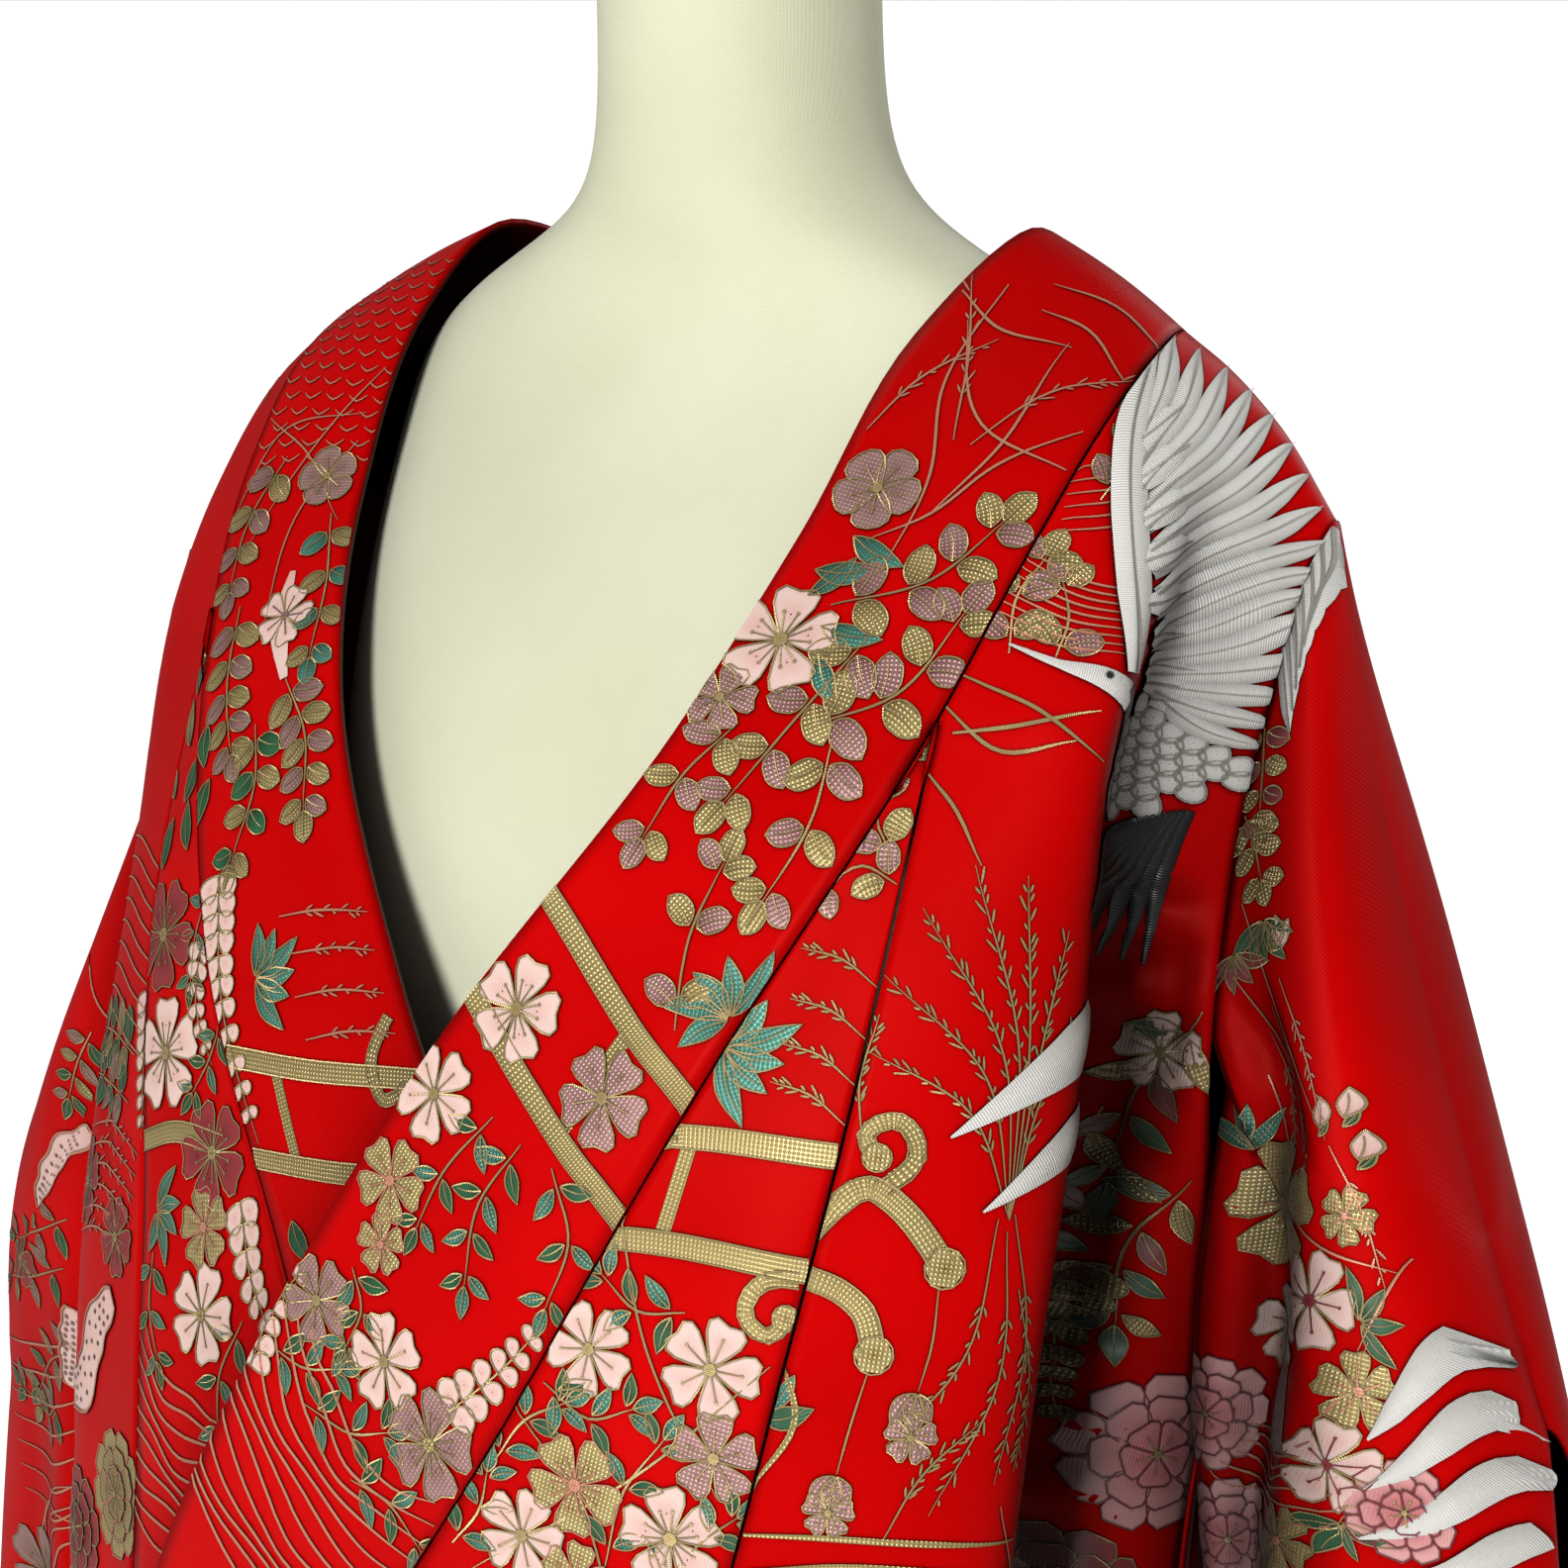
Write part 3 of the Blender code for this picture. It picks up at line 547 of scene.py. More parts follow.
# Creases of each length, in centimetres on the flat cloth: across from the front seam and along
# from the front hem. Then the half width, and the height of a ridge or depth of a trough.
BODY_CREASES = {
    "left": [
        (((5.2, 72), (5.9, 102), (4.8, 125)), 2.5, -3.80),
        (((8.6, 96), (8.2, 108), (8.6, 121)), 1.1, 0.40),
        (((-4.0, 60), (-5.2, 84), (-4.4, 108)), 2.2, 0.35),
        (((-7.4, 40), (-8.0, 66), (-8.6, 88)), 1.8, -0.30),
        (((-2.2, 128), (-3.2, 134), (-2.0, 141)), 1.3, 0.22),
        (((-1.8, 8), (-2.8, 34), (-1.2, 62)), 2.0, -0.45),
        (((5.0, 12), (6.4, 44), (5.4, 82)), 1.8, 0.50),
        (((9.6, 20), (10.4, 50), (9.0, 74)), 1.5, -0.40),
        (((-3.0, 168), (-5.2, 196), (-4.0, 232)), 2.4, 0.55),
        (((3.4, 160), (2.2, 192), (4.6, 246)), 2.0, -0.60),
        (((8.8, 174), (9.4, 214), (8.0, 268)), 1.9, 0.50),
        (((-9.4, 186), (-8.2, 228), (-10.0, 282)), 2.3, -0.50),
        (((-1.0, 236), (-2.4, 262), (-0.6, 292)), 2.2, 0.60),
    ],
    "right": [
        (((-7.6, 104.6), (-5.8, 107.0), (-3.6, 107.4)), 0.7, -0.38),
        (((-7.0, 106.4), (-5.2, 108.6), (-3.4, 108.9)), 0.6, 0.22),
        (((2.6, 92), (3.0, 110), (2.4, 126)), 1.4, -0.90),
        (((-4.6, 62), (-5.6, 82), (-5.0, 104)), 2.0, 0.32),
        (((6.0, 90), (6.6, 106), (6.0, 122)), 1.2, 0.40),
        (((-2.4, 10), (-1.4, 38), (-3.0, 70)), 2.0, -0.45),
        (((4.4, 16), (5.6, 40), (4.8, 78)), 1.7, 0.45),
        (((9.8, 18), (9.0, 46), (10.0, 80)), 1.5, -0.40),
        (((-3.6, 164), (-4.4, 200), (-2.8, 238)), 2.4, 0.50),
        (((3.0, 170), (4.2, 206), (2.6, 250)), 2.0, -0.55),
        (((9.0, 180), (8.2, 222), (9.4, 262)), 1.9, 0.50),
        (((-8.8, 176), (-9.8, 224), (-8.6, 290)), 2.2, -0.50),
    ],
}
PANEL_SHIFT = {"collar": 0.0, "body_left": 1.0, "okumi_left": 2.0, "sleeve_left": 3.0,
               "body_right": 4.0, "okumi_right": 5.0, "sleeve_right": 6.0}
BODY_STEPS = (16, 12, 12)


def inset(grid, first, last):
    """Stop a grid short of its seams, at its first and last stations."""
    if first:
        run = grid[:, 1] - grid[:, 0]
        grid[:, 0] += run / np.linalg.norm(run, axis=1, keepdims=True) * SEAM_INSET
    if last:
        run = grid[:, -2] - grid[:, -1]
        grid[:, -1] += run / np.linalg.norm(run, axis=1, keepdims=True) * SEAM_INSET
    return grid


for word, (side, columns) in sides.items():
    grid = []
    for row in row_numbers(0, NECK_BACK + len(BACK)):
        inner = "okumi" if row <= KEN_SAKI else ("seam" if row <= NECK_BACK else "centre")
        points = [column_point(columns[part], row) for part in (inner, "ridge", "valley", "outer")]
        if row < KEN_SAKI:
            points.insert(0, column_point(columns["seam"], row))
            grid.append(across(points, BODY_STEPS, first=1))
        else:
            grid.append(across(points, BODY_STEPS))
    grid = inset(np.array(grid), True, True)
    flat = flatten(grid, BODY_STEPS[0])
    grid = crease_cloth(grid, flat, BODY_CREASES[word], side)
    flat[:, :, 0] += PANEL_SHIFT["body_" + word]
    piece = cloth_piece("migoro_" + word, "body_" + word, grid, flat, side, LINED_CLOTH)

# --- Okumi: the narrow front gores -------------------------------------------------------------
# One gore is sewn to each front edge. It runs from the hem to a point at ken-saki, where the
# collar's seam meets the body's, and its other edge is free below the collar.
OKUMI_CREASES = {
    "left": [(((-6.0, 30), (-6.8, 56), (-5.4, 84)), 2.0, 0.35),
             (((-10.0, 12), (-11.0, 40), (-9.6, 70)), 1.8, -0.35)],
    "right": [(((-5.4, 26), (-6.6, 52), (-5.8, 88)), 2.0, 0.35),
              (((-10.4, 10), (-9.8, 38), (-11.0, 72)), 1.8, -0.35)],
}
for word, (side, columns) in sides.items():
    numbers = row_numbers(0, KEN_SAKI)
    numbers[-1] -= OKUMI_TIP / 4
    grid = []
    for row in numbers:
        points = [column_point(columns[part], row) for part in ("seam", "okumi", "ridge", "valley", "outer")]
        grid.append(across(points, (16,)))
    grid = np.array(grid)
    below_collar = len(row_numbers(0, COLLAR_FIRST)) - 1
    inset(grid, False, True)
    inset(grid[below_collar:], True, False)
    flat = flatten(grid, grid.shape[1] - 1)
    grid = crease_cloth(grid, flat, OKUMI_CREASES[word], side)
    flat[:, :, 0] += PANEL_SHIFT["okumi_" + word]
    piece = cloth_piece("okumi_gore_" + word, "okumi_" + word, grid, flat, side, LINED_CLOTH)

# --- Collar ------------------------------------------------------------------------------------
# One strip of the same silk, folded double and sewn along its outer edge to the okumi, the body
# and the neck. It runs from the left front, round the back of the neck, to the right front.
COLLAR_CLOTH = 0.0030
COLLAR_BULGE = 0.0020
COLLAR_CREASES = [
    (((-2.4, 8), (-1.2, 22), (-2.0, 40)), 1.5, -0.16),
    (((1.6, 30), (2.6, 52), (1.4, 74)), 1.6, 0.14),
    (((-2.0, 56), (-2.8, 68), (-1.4, 82)), 1.2, -0.12),
    (((1.2, 140), (2.4, 152), (1.4, 166)), 1.5, 0.14),
    (((-3.0, 162), (-1.6, 166.6), (2.2, 167.4)), 0.7, -0.22),
    (((-1.6, 172), (-2.6, 188), (-1.2, 206)), 1.5, -0.16),
]
numbers_up = row_numbers(COLLAR_FIRST, NECK_BACK)
grid = []
for (side, columns), numbers in zip(sides.values(), (numbers_up, numbers_up[-2::-1])):
    for row in numbers:
        edge, seam = column_point(columns["edge"], row), column_point(columns["seam"], row)
        next_row = row + 0.1 if row + 0.1 <= NECK_BACK else row - 0.1
        run = (column_point(columns["seam"], next_row) - seam) * (1 if next_row > row else -1) * side
        out = (seam - edge).cross(run).normalized()
        shares = [step / 14 for step in range(15)]
        grid.append([edge.lerp(seam, share) + out * COLLAR_BULGE * math.sin(math.pi * share)
                     for share in shares])
grid = inset(np.array(grid), False, True)
flat = flatten(grid, 7)
grid = crease_cloth(grid, flat, COLLAR_CREASES, 1)
piece = cloth_piece("eri", "collar", grid, flat, 1, COLLAR_CLOTH)

# --- Sleeves (sode) ----------------------------------------------------------------------------
# One length each, folded at the top and sewn to the body along the armhole. It is sewn at the
# outer edge below the cuff and along the bottom, and left open on the inner edge.
SLEEVE_LENGTH, SLEEVE_WIDTH, CUFF_OPENING = 0.98, 0.33, 0.24
SLEEVE_CORNER, FOLD_ROUND, EDGE_HALF, ARMHOLE_INSET = 0.08, 0.020, 0.0028, -0.0020
SLEEVES = {
    "left": dict(fold_end=(37.2, -0.8, 103.0), bow=0.034, flare=0.036, lean=-0.022,
                 valley=(0.20, 0.09, 0.026)),
    "right": dict(fold_end=(-41.0, 0.6, 101.5), bow=0.060, flare=0.105, lean=0.010,
                  valley=(0.42, 0.14, 0.012)),
}
SLEEVE_CREASES = {
    "left": [(((0.4, 116.4), (2.8, 113.6), (5.2, 109.6)), 0.8, -0.45),
             (((7.4, 103.0), (8.4, 96.0), (9.6, 88.0)), 1.2, 0.30)],
    "right": [(((2.0, 104.0), (5.6, 100.0), (9.0, 93.0)), 1.1, -0.50)],
}
SLEEVE_TURN = 2.80        # flat length from which the back of a sleeve is counted
SLEEVE_SHARES = ([step * 0.02 for step in range(45)]
                 + [0.90, 0.92, 0.94, 0.955, 0.97, 0.98, 0.988, 0.994, 0.998, 1.0])
SPREAD = 0.036            # how much wider a sleeve hangs for each metre down
CLEARANCE = 0.012         # how far it stands off the body's side
BAG_HALF, BAG_SWELL, BAG_TAPER = 0.044, 0.016, 0.62        # its fullness, more amid, less below
CUFF_HALF = 0.018         # half the gape of its cuff
# Hanging pleats of a sleeve: how many across it, where they begin, and how deep they are.
PLEATS = [(2.7, 0.08, 0.0180), (1.6, 0.45, 0.004), (5.3, 0.20, 0.0028)]


def hang(fold_start, fold_stop, side, bow, flare, lean, valley, share, length):
    """Point of a sleeve, at a share of its width and a signed length below the fold."""
    layer = -1 if length < 0 else 1
    down = abs(length)
    past = max(0.0, (share - 1) * SLEEVE_WIDTH + SLEEVE_CORNER)
    cut = SLEEVE_CORNER - math.sqrt(max(SLEEVE_CORNER ** 2 - past ** 2, 0.0))
    down *= 1 - cut / SLEEVE_LENGTH * min(1.0, down / SLEEVE_LENGTH) ** 3
    point = fold_start.lerp(fold_stop, share)
    point.x += side * bow * (share ** 2 - share)
    point.z -= math.sqrt(down ** 2 + FOLD_ROUND ** 2) - FOLD_ROUND
    point.x += side * flare * share * (1 - math.exp(-down / 0.12)) + side * SPREAD * share * down
    clear = CLEARANCE
    if layer < 0:
        clear -= 2 * CLEARANCE * math.exp(-((down - 0.32) / 0.16) ** 2)
    point.x += side * clear * (1 - share) * min(1.0, down / 0.3)
    full = BAG_HALF + BAG_SWELL * math.sin(math.pi * min(1.0, share * 1.1))
    full *= 1 - BAG_TAPER * min(1.0, down / SLEEVE_LENGTH) ** 1.5
    open_edge = CUFF_HALF * max(0.0, 1 - (down / CUFF_OPENING) ** 4)
    to_edge = math.sqrt(max(0.0, 1 - max(0.0, (share - 0.70) / 0.30) ** 2.2))
    half = open_edge + (full - open_edge) * to_edge
    to_bottom = math.sqrt(max(0.0, 1 - (max(0.0, down - 0.86) / 0.12) ** 2))
    half *= (1 - math.exp(-down / 0.045)) * min(1.0, to_bottom)
    for count, phase, size in PLEATS:
        wave = math.sin(math.tau * (count * share + phase)) - math.sin(math.tau * phase)
        settle = min(1.0, max(0.0, (down - (0.20 if layer < 0 else 0.06)) / 0.40))
        point.y += size * wave * settle * min(1.0, share / 0.2) * (1.0 if layer < 0 else 1.1)
    centre, width, depth = valley
    if layer < 0:
        dip = math.exp(-((share - centre) / width) ** 2) * min(1.0, max(0.0, (down - 0.12) / 0.12))
        half -= min(depth, half * 0.6) * dip
    point.y += layer * max(half, EDGE_HALF if down > 0.01 else 0.0) + lean * min(1.0, down / 0.25)
    return point


for word, (side, columns) in sides.items():
    values = dict(SLEEVES[word])
    fold_stop = Vector(values.pop("fold_end")) * CM
    fold_start = columns["outer"][SHOULDER_LINE]
    sewn = [(row, column_point(columns["outer"], row)) for row in row_numbers(*ARMHOLE)]
    top = next(number for number, (row, point) in enumerate(sewn) if row == SHOULDER_LINE)
    run = lengths_along(np.array([point for row, point in sewn]))
    threads = [(length - run[top], point) for length, (row, point) in zip(run, sewn)]
    first_free, last_free = threads[0][0], threads[-1][0]
    bottom = list(np.arange(0.90, SLEEVE_LENGTH, 0.006)) + [SLEEVE_LENGTH]
    front_drops = list(np.linspace(-first_free, 0.90, 70, endpoint=False)[1:]) + bottom
    back_drops = list(np.linspace(last_free, 0.90, 70, endpoint=False)[1:]) + bottom
    threads = ([(-drop, None) for drop in reversed(front_drops)] + threads
               + [(drop, None) for drop in back_drops])
    grid = []
    for length, sewn_at in threads:
        row = [hang(fold_start, fold_stop, side, share=share, length=length, **values)
               for share in SLEEVE_SHARES]
        if sewn_at is not None:
            shift = sewn_at - row[0]
            row = [point + shift * (1 - min(1.0, share / 0.45)) ** 2
                   for point, share in zip(row, SLEEVE_SHARES)]
            row[0] = row[0] + (row[1] - row[0]).normalized() * ARMHOLE_INSET
        grid.append(row)
    grid = np.array(grid)
    fold_row = next(number for number, (length, _) in enumerate(threads) if length >= 0.0)
    level = np.linalg.norm(np.diff(grid[:, :, :2], axis=1), axis=2)
    over = np.hstack([np.zeros((len(grid), 1)), np.cumsum(level, axis=1)]) + PANEL_SHIFT["sleeve_" + word]
    fallen = np.cumsum(np.linalg.norm(np.diff(grid, axis=0), axis=2), axis=0)
    fallen = np.vstack([np.zeros(over.shape[1]), fallen])
    fallen = np.abs(fallen - fallen[fold_row])
    flat = np.stack([over, grid[fold_row, :, 2] - fallen], axis=-1)
    back_flat = np.stack([over, SLEEVE_TURN - flat[:, :, 1]], axis=-1)
    grid = crease_cloth(grid, flat - [PANEL_SHIFT["sleeve_" + word], 0.0], SLEEVE_CREASES[word], side)
    piece = cloth_piece("sode_" + word, "sleeve_" + word, grid, flat, side, LINED_CLOTH, back_flat, fold_row)

# --- Figured design: the laying of it ----------------------------------------------------------
# Dyed and foiled figures, their couched outlines and the embroidery are drawn on the flat cloth,
# in centimetres, and then laid on it as thin sheets. A figure stops at the seam that it crosses.
flat_mesh = bpy.data.meshes.new("flat_cloth")
places = np.concatenate([piece[0].reshape(-1, 3) for piece in drawing_cloth])
outwards = np.concatenate([piece[1].reshape(-1, 3) for piece in drawing_cloth])
flats = np.concatenate([piece[2].reshape(-1, 2) for piece in drawing_cloth])
flat_mesh.from_pydata(np.hstack([flats, np.zeros((len(flats), 1))]).tolist(), [],
                      np.arange(len(flats)).reshape(-1, 4).tolist())
for name, values in (("place", places), ("outward", outwards)):
    layer = flat_mesh.attributes.new(name, "FLOAT_VECTOR", "POINT")
    layer.data.foreach_set("vector", values.astype(np.float32).ravel())
flat_cloth = bpy.data.objects.new("flat_cloth", flat_mesh)
bpy.context.scene.collection.objects.link(flat_cloth)

laying = bpy.data.node_groups.new("lay on cloth", "GeometryNodeTree")
for name, kind in (("Figures", "NodeSocketGeometry"), ("Flat cloth", "NodeSocketObject"),
                   ("Overrun", "NodeSocketFloat"), ("Finish", "NodeSocketMaterial")):
    laying.interface.new_socket(name, in_out="INPUT", socket_type=kind)
laying.interface.new_socket("Figures", in_out="OUTPUT", socket_type="NodeSocketGeometry")
enter = laying.nodes.new("NodeGroupInput")
leave = laying.nodes.new("NodeGroupOutput")


def step(kind, **settings):
    node = laying.nodes.new(kind)
    for key, value in settings.items():
        setattr(node, key, value)
    return node


def link(source, target):
    laying.links.new(source, target)


cloth_info = step("GeometryNodeObjectInfo")
link(enter.outputs["Flat cloth"], cloth_info.inputs["Object"])
drawn_at = step("GeometryNodeInputPosition")
split = step("ShaderNodeSeparateXYZ")
link(drawn_at.outputs["Position"], split.inputs["Vector"])
on_flat = step("ShaderNodeCombineXYZ")
link(split.outputs["X"], on_flat.inputs["X"])
link(split.outputs["Y"], on_flat.inputs["Y"])
near = step("GeometryNodeProximity", target_element="FACES")
link(cloth_info.outputs["Geometry"], near.inputs["Geometry"])
link(on_flat.outputs["Vector"], near.inputs["Sample Position"])
beyond = step("FunctionNodeCompare", data_type="FLOAT", operation="GREATER_THAN")
link(near.outputs["Distance"], beyond.inputs["A"])
link(enter.outputs["Overrun"], beyond.inputs["B"])
keep_beyond = step("GeometryNodeCaptureAttribute", domain="POINT")
keep_beyond.capture_items.new("BOOLEAN", "Beyond")
link(enter.outputs["Figures"], keep_beyond.inputs["Geometry"])
link(beyond.outputs["Result"], keep_beyond.inputs["Beyond"])
cut = step("GeometryNodeDeleteGeometry", domain="FACE")
link(keep_beyond.outputs["Geometry"], cut.inputs["Geometry"])
link(keep_beyond.outputs["Beyond"], cut.inputs["Selection"])
sampled = []
for name in ("place", "outward"):
    named = step("GeometryNodeInputNamedAttribute", data_type="FLOAT_VECTOR")
    named.inputs["Name"].default_value = name
    sample = step("GeometryNodeSampleNearestSurface", data_type="FLOAT_VECTOR")
    link(cloth_info.outputs["Geometry"], sample.inputs["Mesh"])
    link(named.outputs["Attribute"], sample.inputs["Value"])
    link(on_flat.outputs["Vector"], sample.inputs["Sample Position"])
    sampled.append(sample.outputs["Value"])
raised = step("ShaderNodeVectorMath", operation="MULTIPLY_ADD")
link(sampled[1], raised.inputs[0])
lift_each = step("ShaderNodeCombineXYZ")
for axis in "XYZ":
    link(split.outputs["Z"], lift_each.inputs[axis])
link(lift_each.outputs["Vector"], raised.inputs[1])
link(sampled[0], raised.inputs[2])
lay_down = step("GeometryNodeSetPosition")
link(cut.outputs["Geometry"], lay_down.inputs["Geometry"])
link(raised.outputs["Vector"], lay_down.inputs["Position"])
real = step("GeometryNodeRealizeInstances")
link(lay_down.outputs["Geometry"], real.inputs["Geometry"])
coloured = step("GeometryNodeSetMaterial")
link(real.outputs["Geometry"], coloured.inputs["Geometry"])
link(enter.outputs["Finish"], coloured.inputs["Material"])
link(coloured.outputs["Geometry"], leave.inputs["Figures"])

# --- Figured design: the hand that draws it ----------------------------------------------------
# Everything is either a vane, a strip along a curve, or a patch, an outline filled from its
# centre. Both may be crowned, and carry a tone and the run of their threads.
figures = {}          # finish: lists of points, faces, tones and thread runs
HAIR = 0.055          # width of a couched outline, in centimetres
FLOAT = 0.035         # how high a dyed or foiled figure lies


def curve_through(points, count):
    """Evenly stepped points on a smooth curve through a few."""
    line = [Vector((*point, 0.0)) for point in points]
    spans = len(line) - 1
    curve = []
    for share in np.linspace(0.0, 1.0, count):
        span = min(int(share * spans), spans - 1)
        curve.append(smooth(line, span, share * spans - span))
    return np.array(curve)[:, :2]


def beside(spine):
    """Unit steps sideways from each point of a line."""
    run = np.gradient(spine, axis=0)
    run /= np.maximum(np.linalg.norm(run, axis=1, keepdims=True), 1e-9)
    return np.stack([run[:, 1], -run[:, 0]], axis=1)


def heading(spine, start, end):
    """Direction from one point of a line to another, in degrees."""
    run = spine[min(end, len(spine) - 1)] - spine[max(start, 0)]
    return math.degrees(math.atan2(run[1], run[0]))


def around(centre, angle, distance):
    return (centre[0] + distance * math.cos(math.radians(angle)),
            centre[1] + distance * math.sin(math.radians(angle)))


class Panel:
    """The flat cloth of one piece, drawn on in centimetres."""

    def __init__(self, name):
        self.shift = PANEL_SHIFT[name]
        self.side = -1 if name.endswith("right") else 1

    def add(self, finish, points, lifts, faces, tones, grain):
        store = figures.setdefault(finish, [[], [], [], [], 0])
        points = np.asarray(points) * CM
        store[0].append(np.column_stack([points[:, 0] + self.shift, points[:, 1], np.asarray(lifts) * CM]))
        faces = np.asarray(faces)
        store[1].append((faces if self.side > 0 else faces[:, ::-1]) + store[4])
        store[2].append(np.asarray(tones, dtype=float))
        store[3].append(np.asarray(grain) * CM)
        store[4] += len(points)

    def vane(self, finish, path, widths, lift=FLOAT, crown=0.0, tones=(0.5, 0.5), columns=2, count=0,
             lean=0.0):
        """Strip along a path; widths are shared out evenly along it, tones run from start to end."""
        reach = sum(math.dist(a, b) for a, b in zip(path, path[1:]))
        count = count or max(4, min(40, int(reach / 0.45) + 3))
        centre = curve_through(path, count)
        shares = np.linspace(0.0, 1.0, count)
        half = np.interp(shares, np.linspace(0.0, 1.0, len(widths)), widths) / 2
        offsets = np.linspace(-1.0, 1.0, columns)
        points = centre[:, None] + beside(centre)[:, None] * (half[:, None] * offsets)[:, :, None]
        fullness = np.minimum(1.0, half / max(half.max(), 1e-6))
        lifts = lift + crown * (1 - offsets ** 2)[None, :] * fullness[:, None]
        tone = np.interp(shares, (0, 1), tones)[:, None] + lean * offsets[None, :]
        grain = np.stack(np.broadcast_arrays(half[:, None] * offsets, (shares * reach)[:, None]), axis=-1)
        self.add(finish, points.reshape(-1, 2), lifts.ravel(), quads(count, columns), tone.ravel(),
                 grain.reshape(-1, 2))

    def patch(self, finish, outline, centre, lift=FLOAT, crown=0.0, tones=(0.2, 0.9), rings=3):
        """An outline filled from its centre, with tones from the centre to the edge."""
        outline, centre = np.asarray(outline), np.asarray(centre)
        shares = np.linspace(0.04, 1.0, rings + 1)
        points = centre + (outline - centre)[None] * shares[:, None, None]
        lifts = np.repeat(lift + crown * (1 - shares ** 2), len(outline))
        tone = np.repeat(np.interp(shares, (0, 1), tones), len(outline))
        index = np.arange(points.shape[0] * len(outline)).reshape(points.shape[0], len(outline))
        after = np.roll(index, -1, axis=1)
        faces = np.stack([index[:-1], index[1:], after[1:], after[:-1]], axis=-1).reshape(-1, 4)
        self.add(finish, points.reshape(-1, 2), lifts, faces, tone, points.reshape(-1, 2) - centre)

    def outline(self, finish, points, width=HAIR, lift=0.06):
        closed = [tuple(point) for point in points] + [tuple(points[0])]
        self.vane(finish, closed, (width, width), lift=lift, count=len(closed))

    def blade(self, path, finish="rose_line", width=0.11, lift=0.05):
        """A long blade of grass or a stem."""
        self.vane(finish, path, (width * 0.5, width, width, width * 0.3), lift=lift)

    def leaf(self, base, angle, length, width, finish="gold_foil", edge="outline_gold", pointed=True,
             bend=8.0):
        """A leaf with its edge and its middle vein."""
        middle = around(base, angle - bend, length * 0.5)
        tip = around(base, angle, length)
        shape = ((0.0, 0.62, 0.95, 1.0, 0.82, 0.45, 0.0) if pointed
                 else (0.0, 0.78, 1.0, 1.0, 0.96, 0.72, 0.0))
        widths = [width * part for part in shape]
        self.vane(finish, (base, middle, tip), widths, crown=0.02, tones=(0.15, 0.95), columns=3, count=9,
                  lean=0.12)
        spine = curve_through((base, middle, tip), 9)
        half = np.interp(np.linspace(0, 1, 9), np.linspace(0, 1, 7), widths) / 2
        off = beside(spine) * half[:, None]
        self.outline(edge, np.vstack([spine + off, (spine - off)[-2:0:-1]]))
        self.vane(edge, (base, middle, around(base, angle, length * 0.8)), (HAIR, HAIR * 0.5), lift=0.07)

    def petal_outline(self, centre, angle, length, width, notch, sharp):
        """Outline of one petal; the blossom's centre is at its foot."""
        points = []
        for step_number in range(14):
            turn = math.tau * step_number / 14
            reach = 0.5 - 0.5 * math.cos(turn)
            swell = math.sin(turn) * (0.35 + 0.65 * reach ** (0.6 + sharp))
            if notch:
                swell = math.copysign(reach * math.sqrt(1 - reach ** 4), math.sin(turn))
            tip = 1 - notch * math.exp(-(math.sin(turn) / 0.30) ** 2) * (reach > 0.5)
            along, over = length * reach * tip, width * 0.62 * swell
            point = around(centre, angle, along)
            points.append(around(point, angle + 90, over))
        return points

    def blossom(self, centre, radius, finish="pale_petal", edge="outline_gold", turn=0.0, petals=5,
                notch=0.12, sharp=0.0, heart="outline_gold", lift=FLOAT, width=0.80, tones=(0.05, 1.0)):
        """An open blossom with its edges, stamens and eye."""
        spread = math.tau * radius / petals * width
        for number in range(petals):
            angle = turn + 360 * number / petals
            outline = self.petal_outline(centre, angle, radius, spread, notch, sharp)
            self.patch(finish, outline, around(centre, angle, radius * 0.45),
                       lift=lift + 0.004 * (number % 3), crown=0.02,
                       tones=(0.45 * tones[0] + 0.55 * tones[1] - 0.15, tones[1]))
            self.outline(edge, outline, lift=lift + 0.03)
            for swing in (0,) if radius < 2 else (-14, 14):
                tip = around(centre, angle + swing, radius * (0.50 if swing else 0.60))
                foot = around(centre, angle + swing, radius * 0.10)
                self.vane(heart, (foot, tip), (HAIR, HAIR * 0.8), lift=lift + 0.04, count=3)
                self.dot(heart, tip, 0.055 * min(1.6, max(0.8, radius / 1.8)), lift + 0.045)
        self.dot(heart, centre, radius * 0.13, lift + 0.045)

    def dot(self, finish, centre, radius, lift=0.06):
        self.patch(finish, [around(centre, angle, radius) for angle in range(0, 360, 60)], centre, lift=lift,
                   crown=0.01, rings=1)

    def spray(self, path, pairs, size, finishes=("gold_foil", "mauve_foil"), pointed=False):
        """A stem with pairs of leaves and one at its end."""
        first, last, spread = 0.12, 0.93, 58
        self.blade(path, "outline_gold", 0.09)
        spine = curve_through(path, 61)
        for number in range(pairs):
            at = int(60 * (first + (last - first) * number / max(pairs - 1, 1)))
            angle = heading(spine, at - 2, at + 2)
            scale = size * (1.0 - 0.25 * number / pairs)
            for flip in (1, -1):
                kind = finishes[(number + (flip > 0)) % len(finishes)]
                foot = around(spine[at], angle + flip * spread, 0.18)
                self.leaf(foot, angle + flip * spread, scale, scale * (0.42 if pointed else 0.66), kind,
                          pointed=pointed, bend=flip * 6)
        self.leaf(spine[60], heading(spine, 56, 60), size * 0.85, size * (0.4 if pointed else 0.6),
                  finishes[0], pointed=pointed, bend=0)

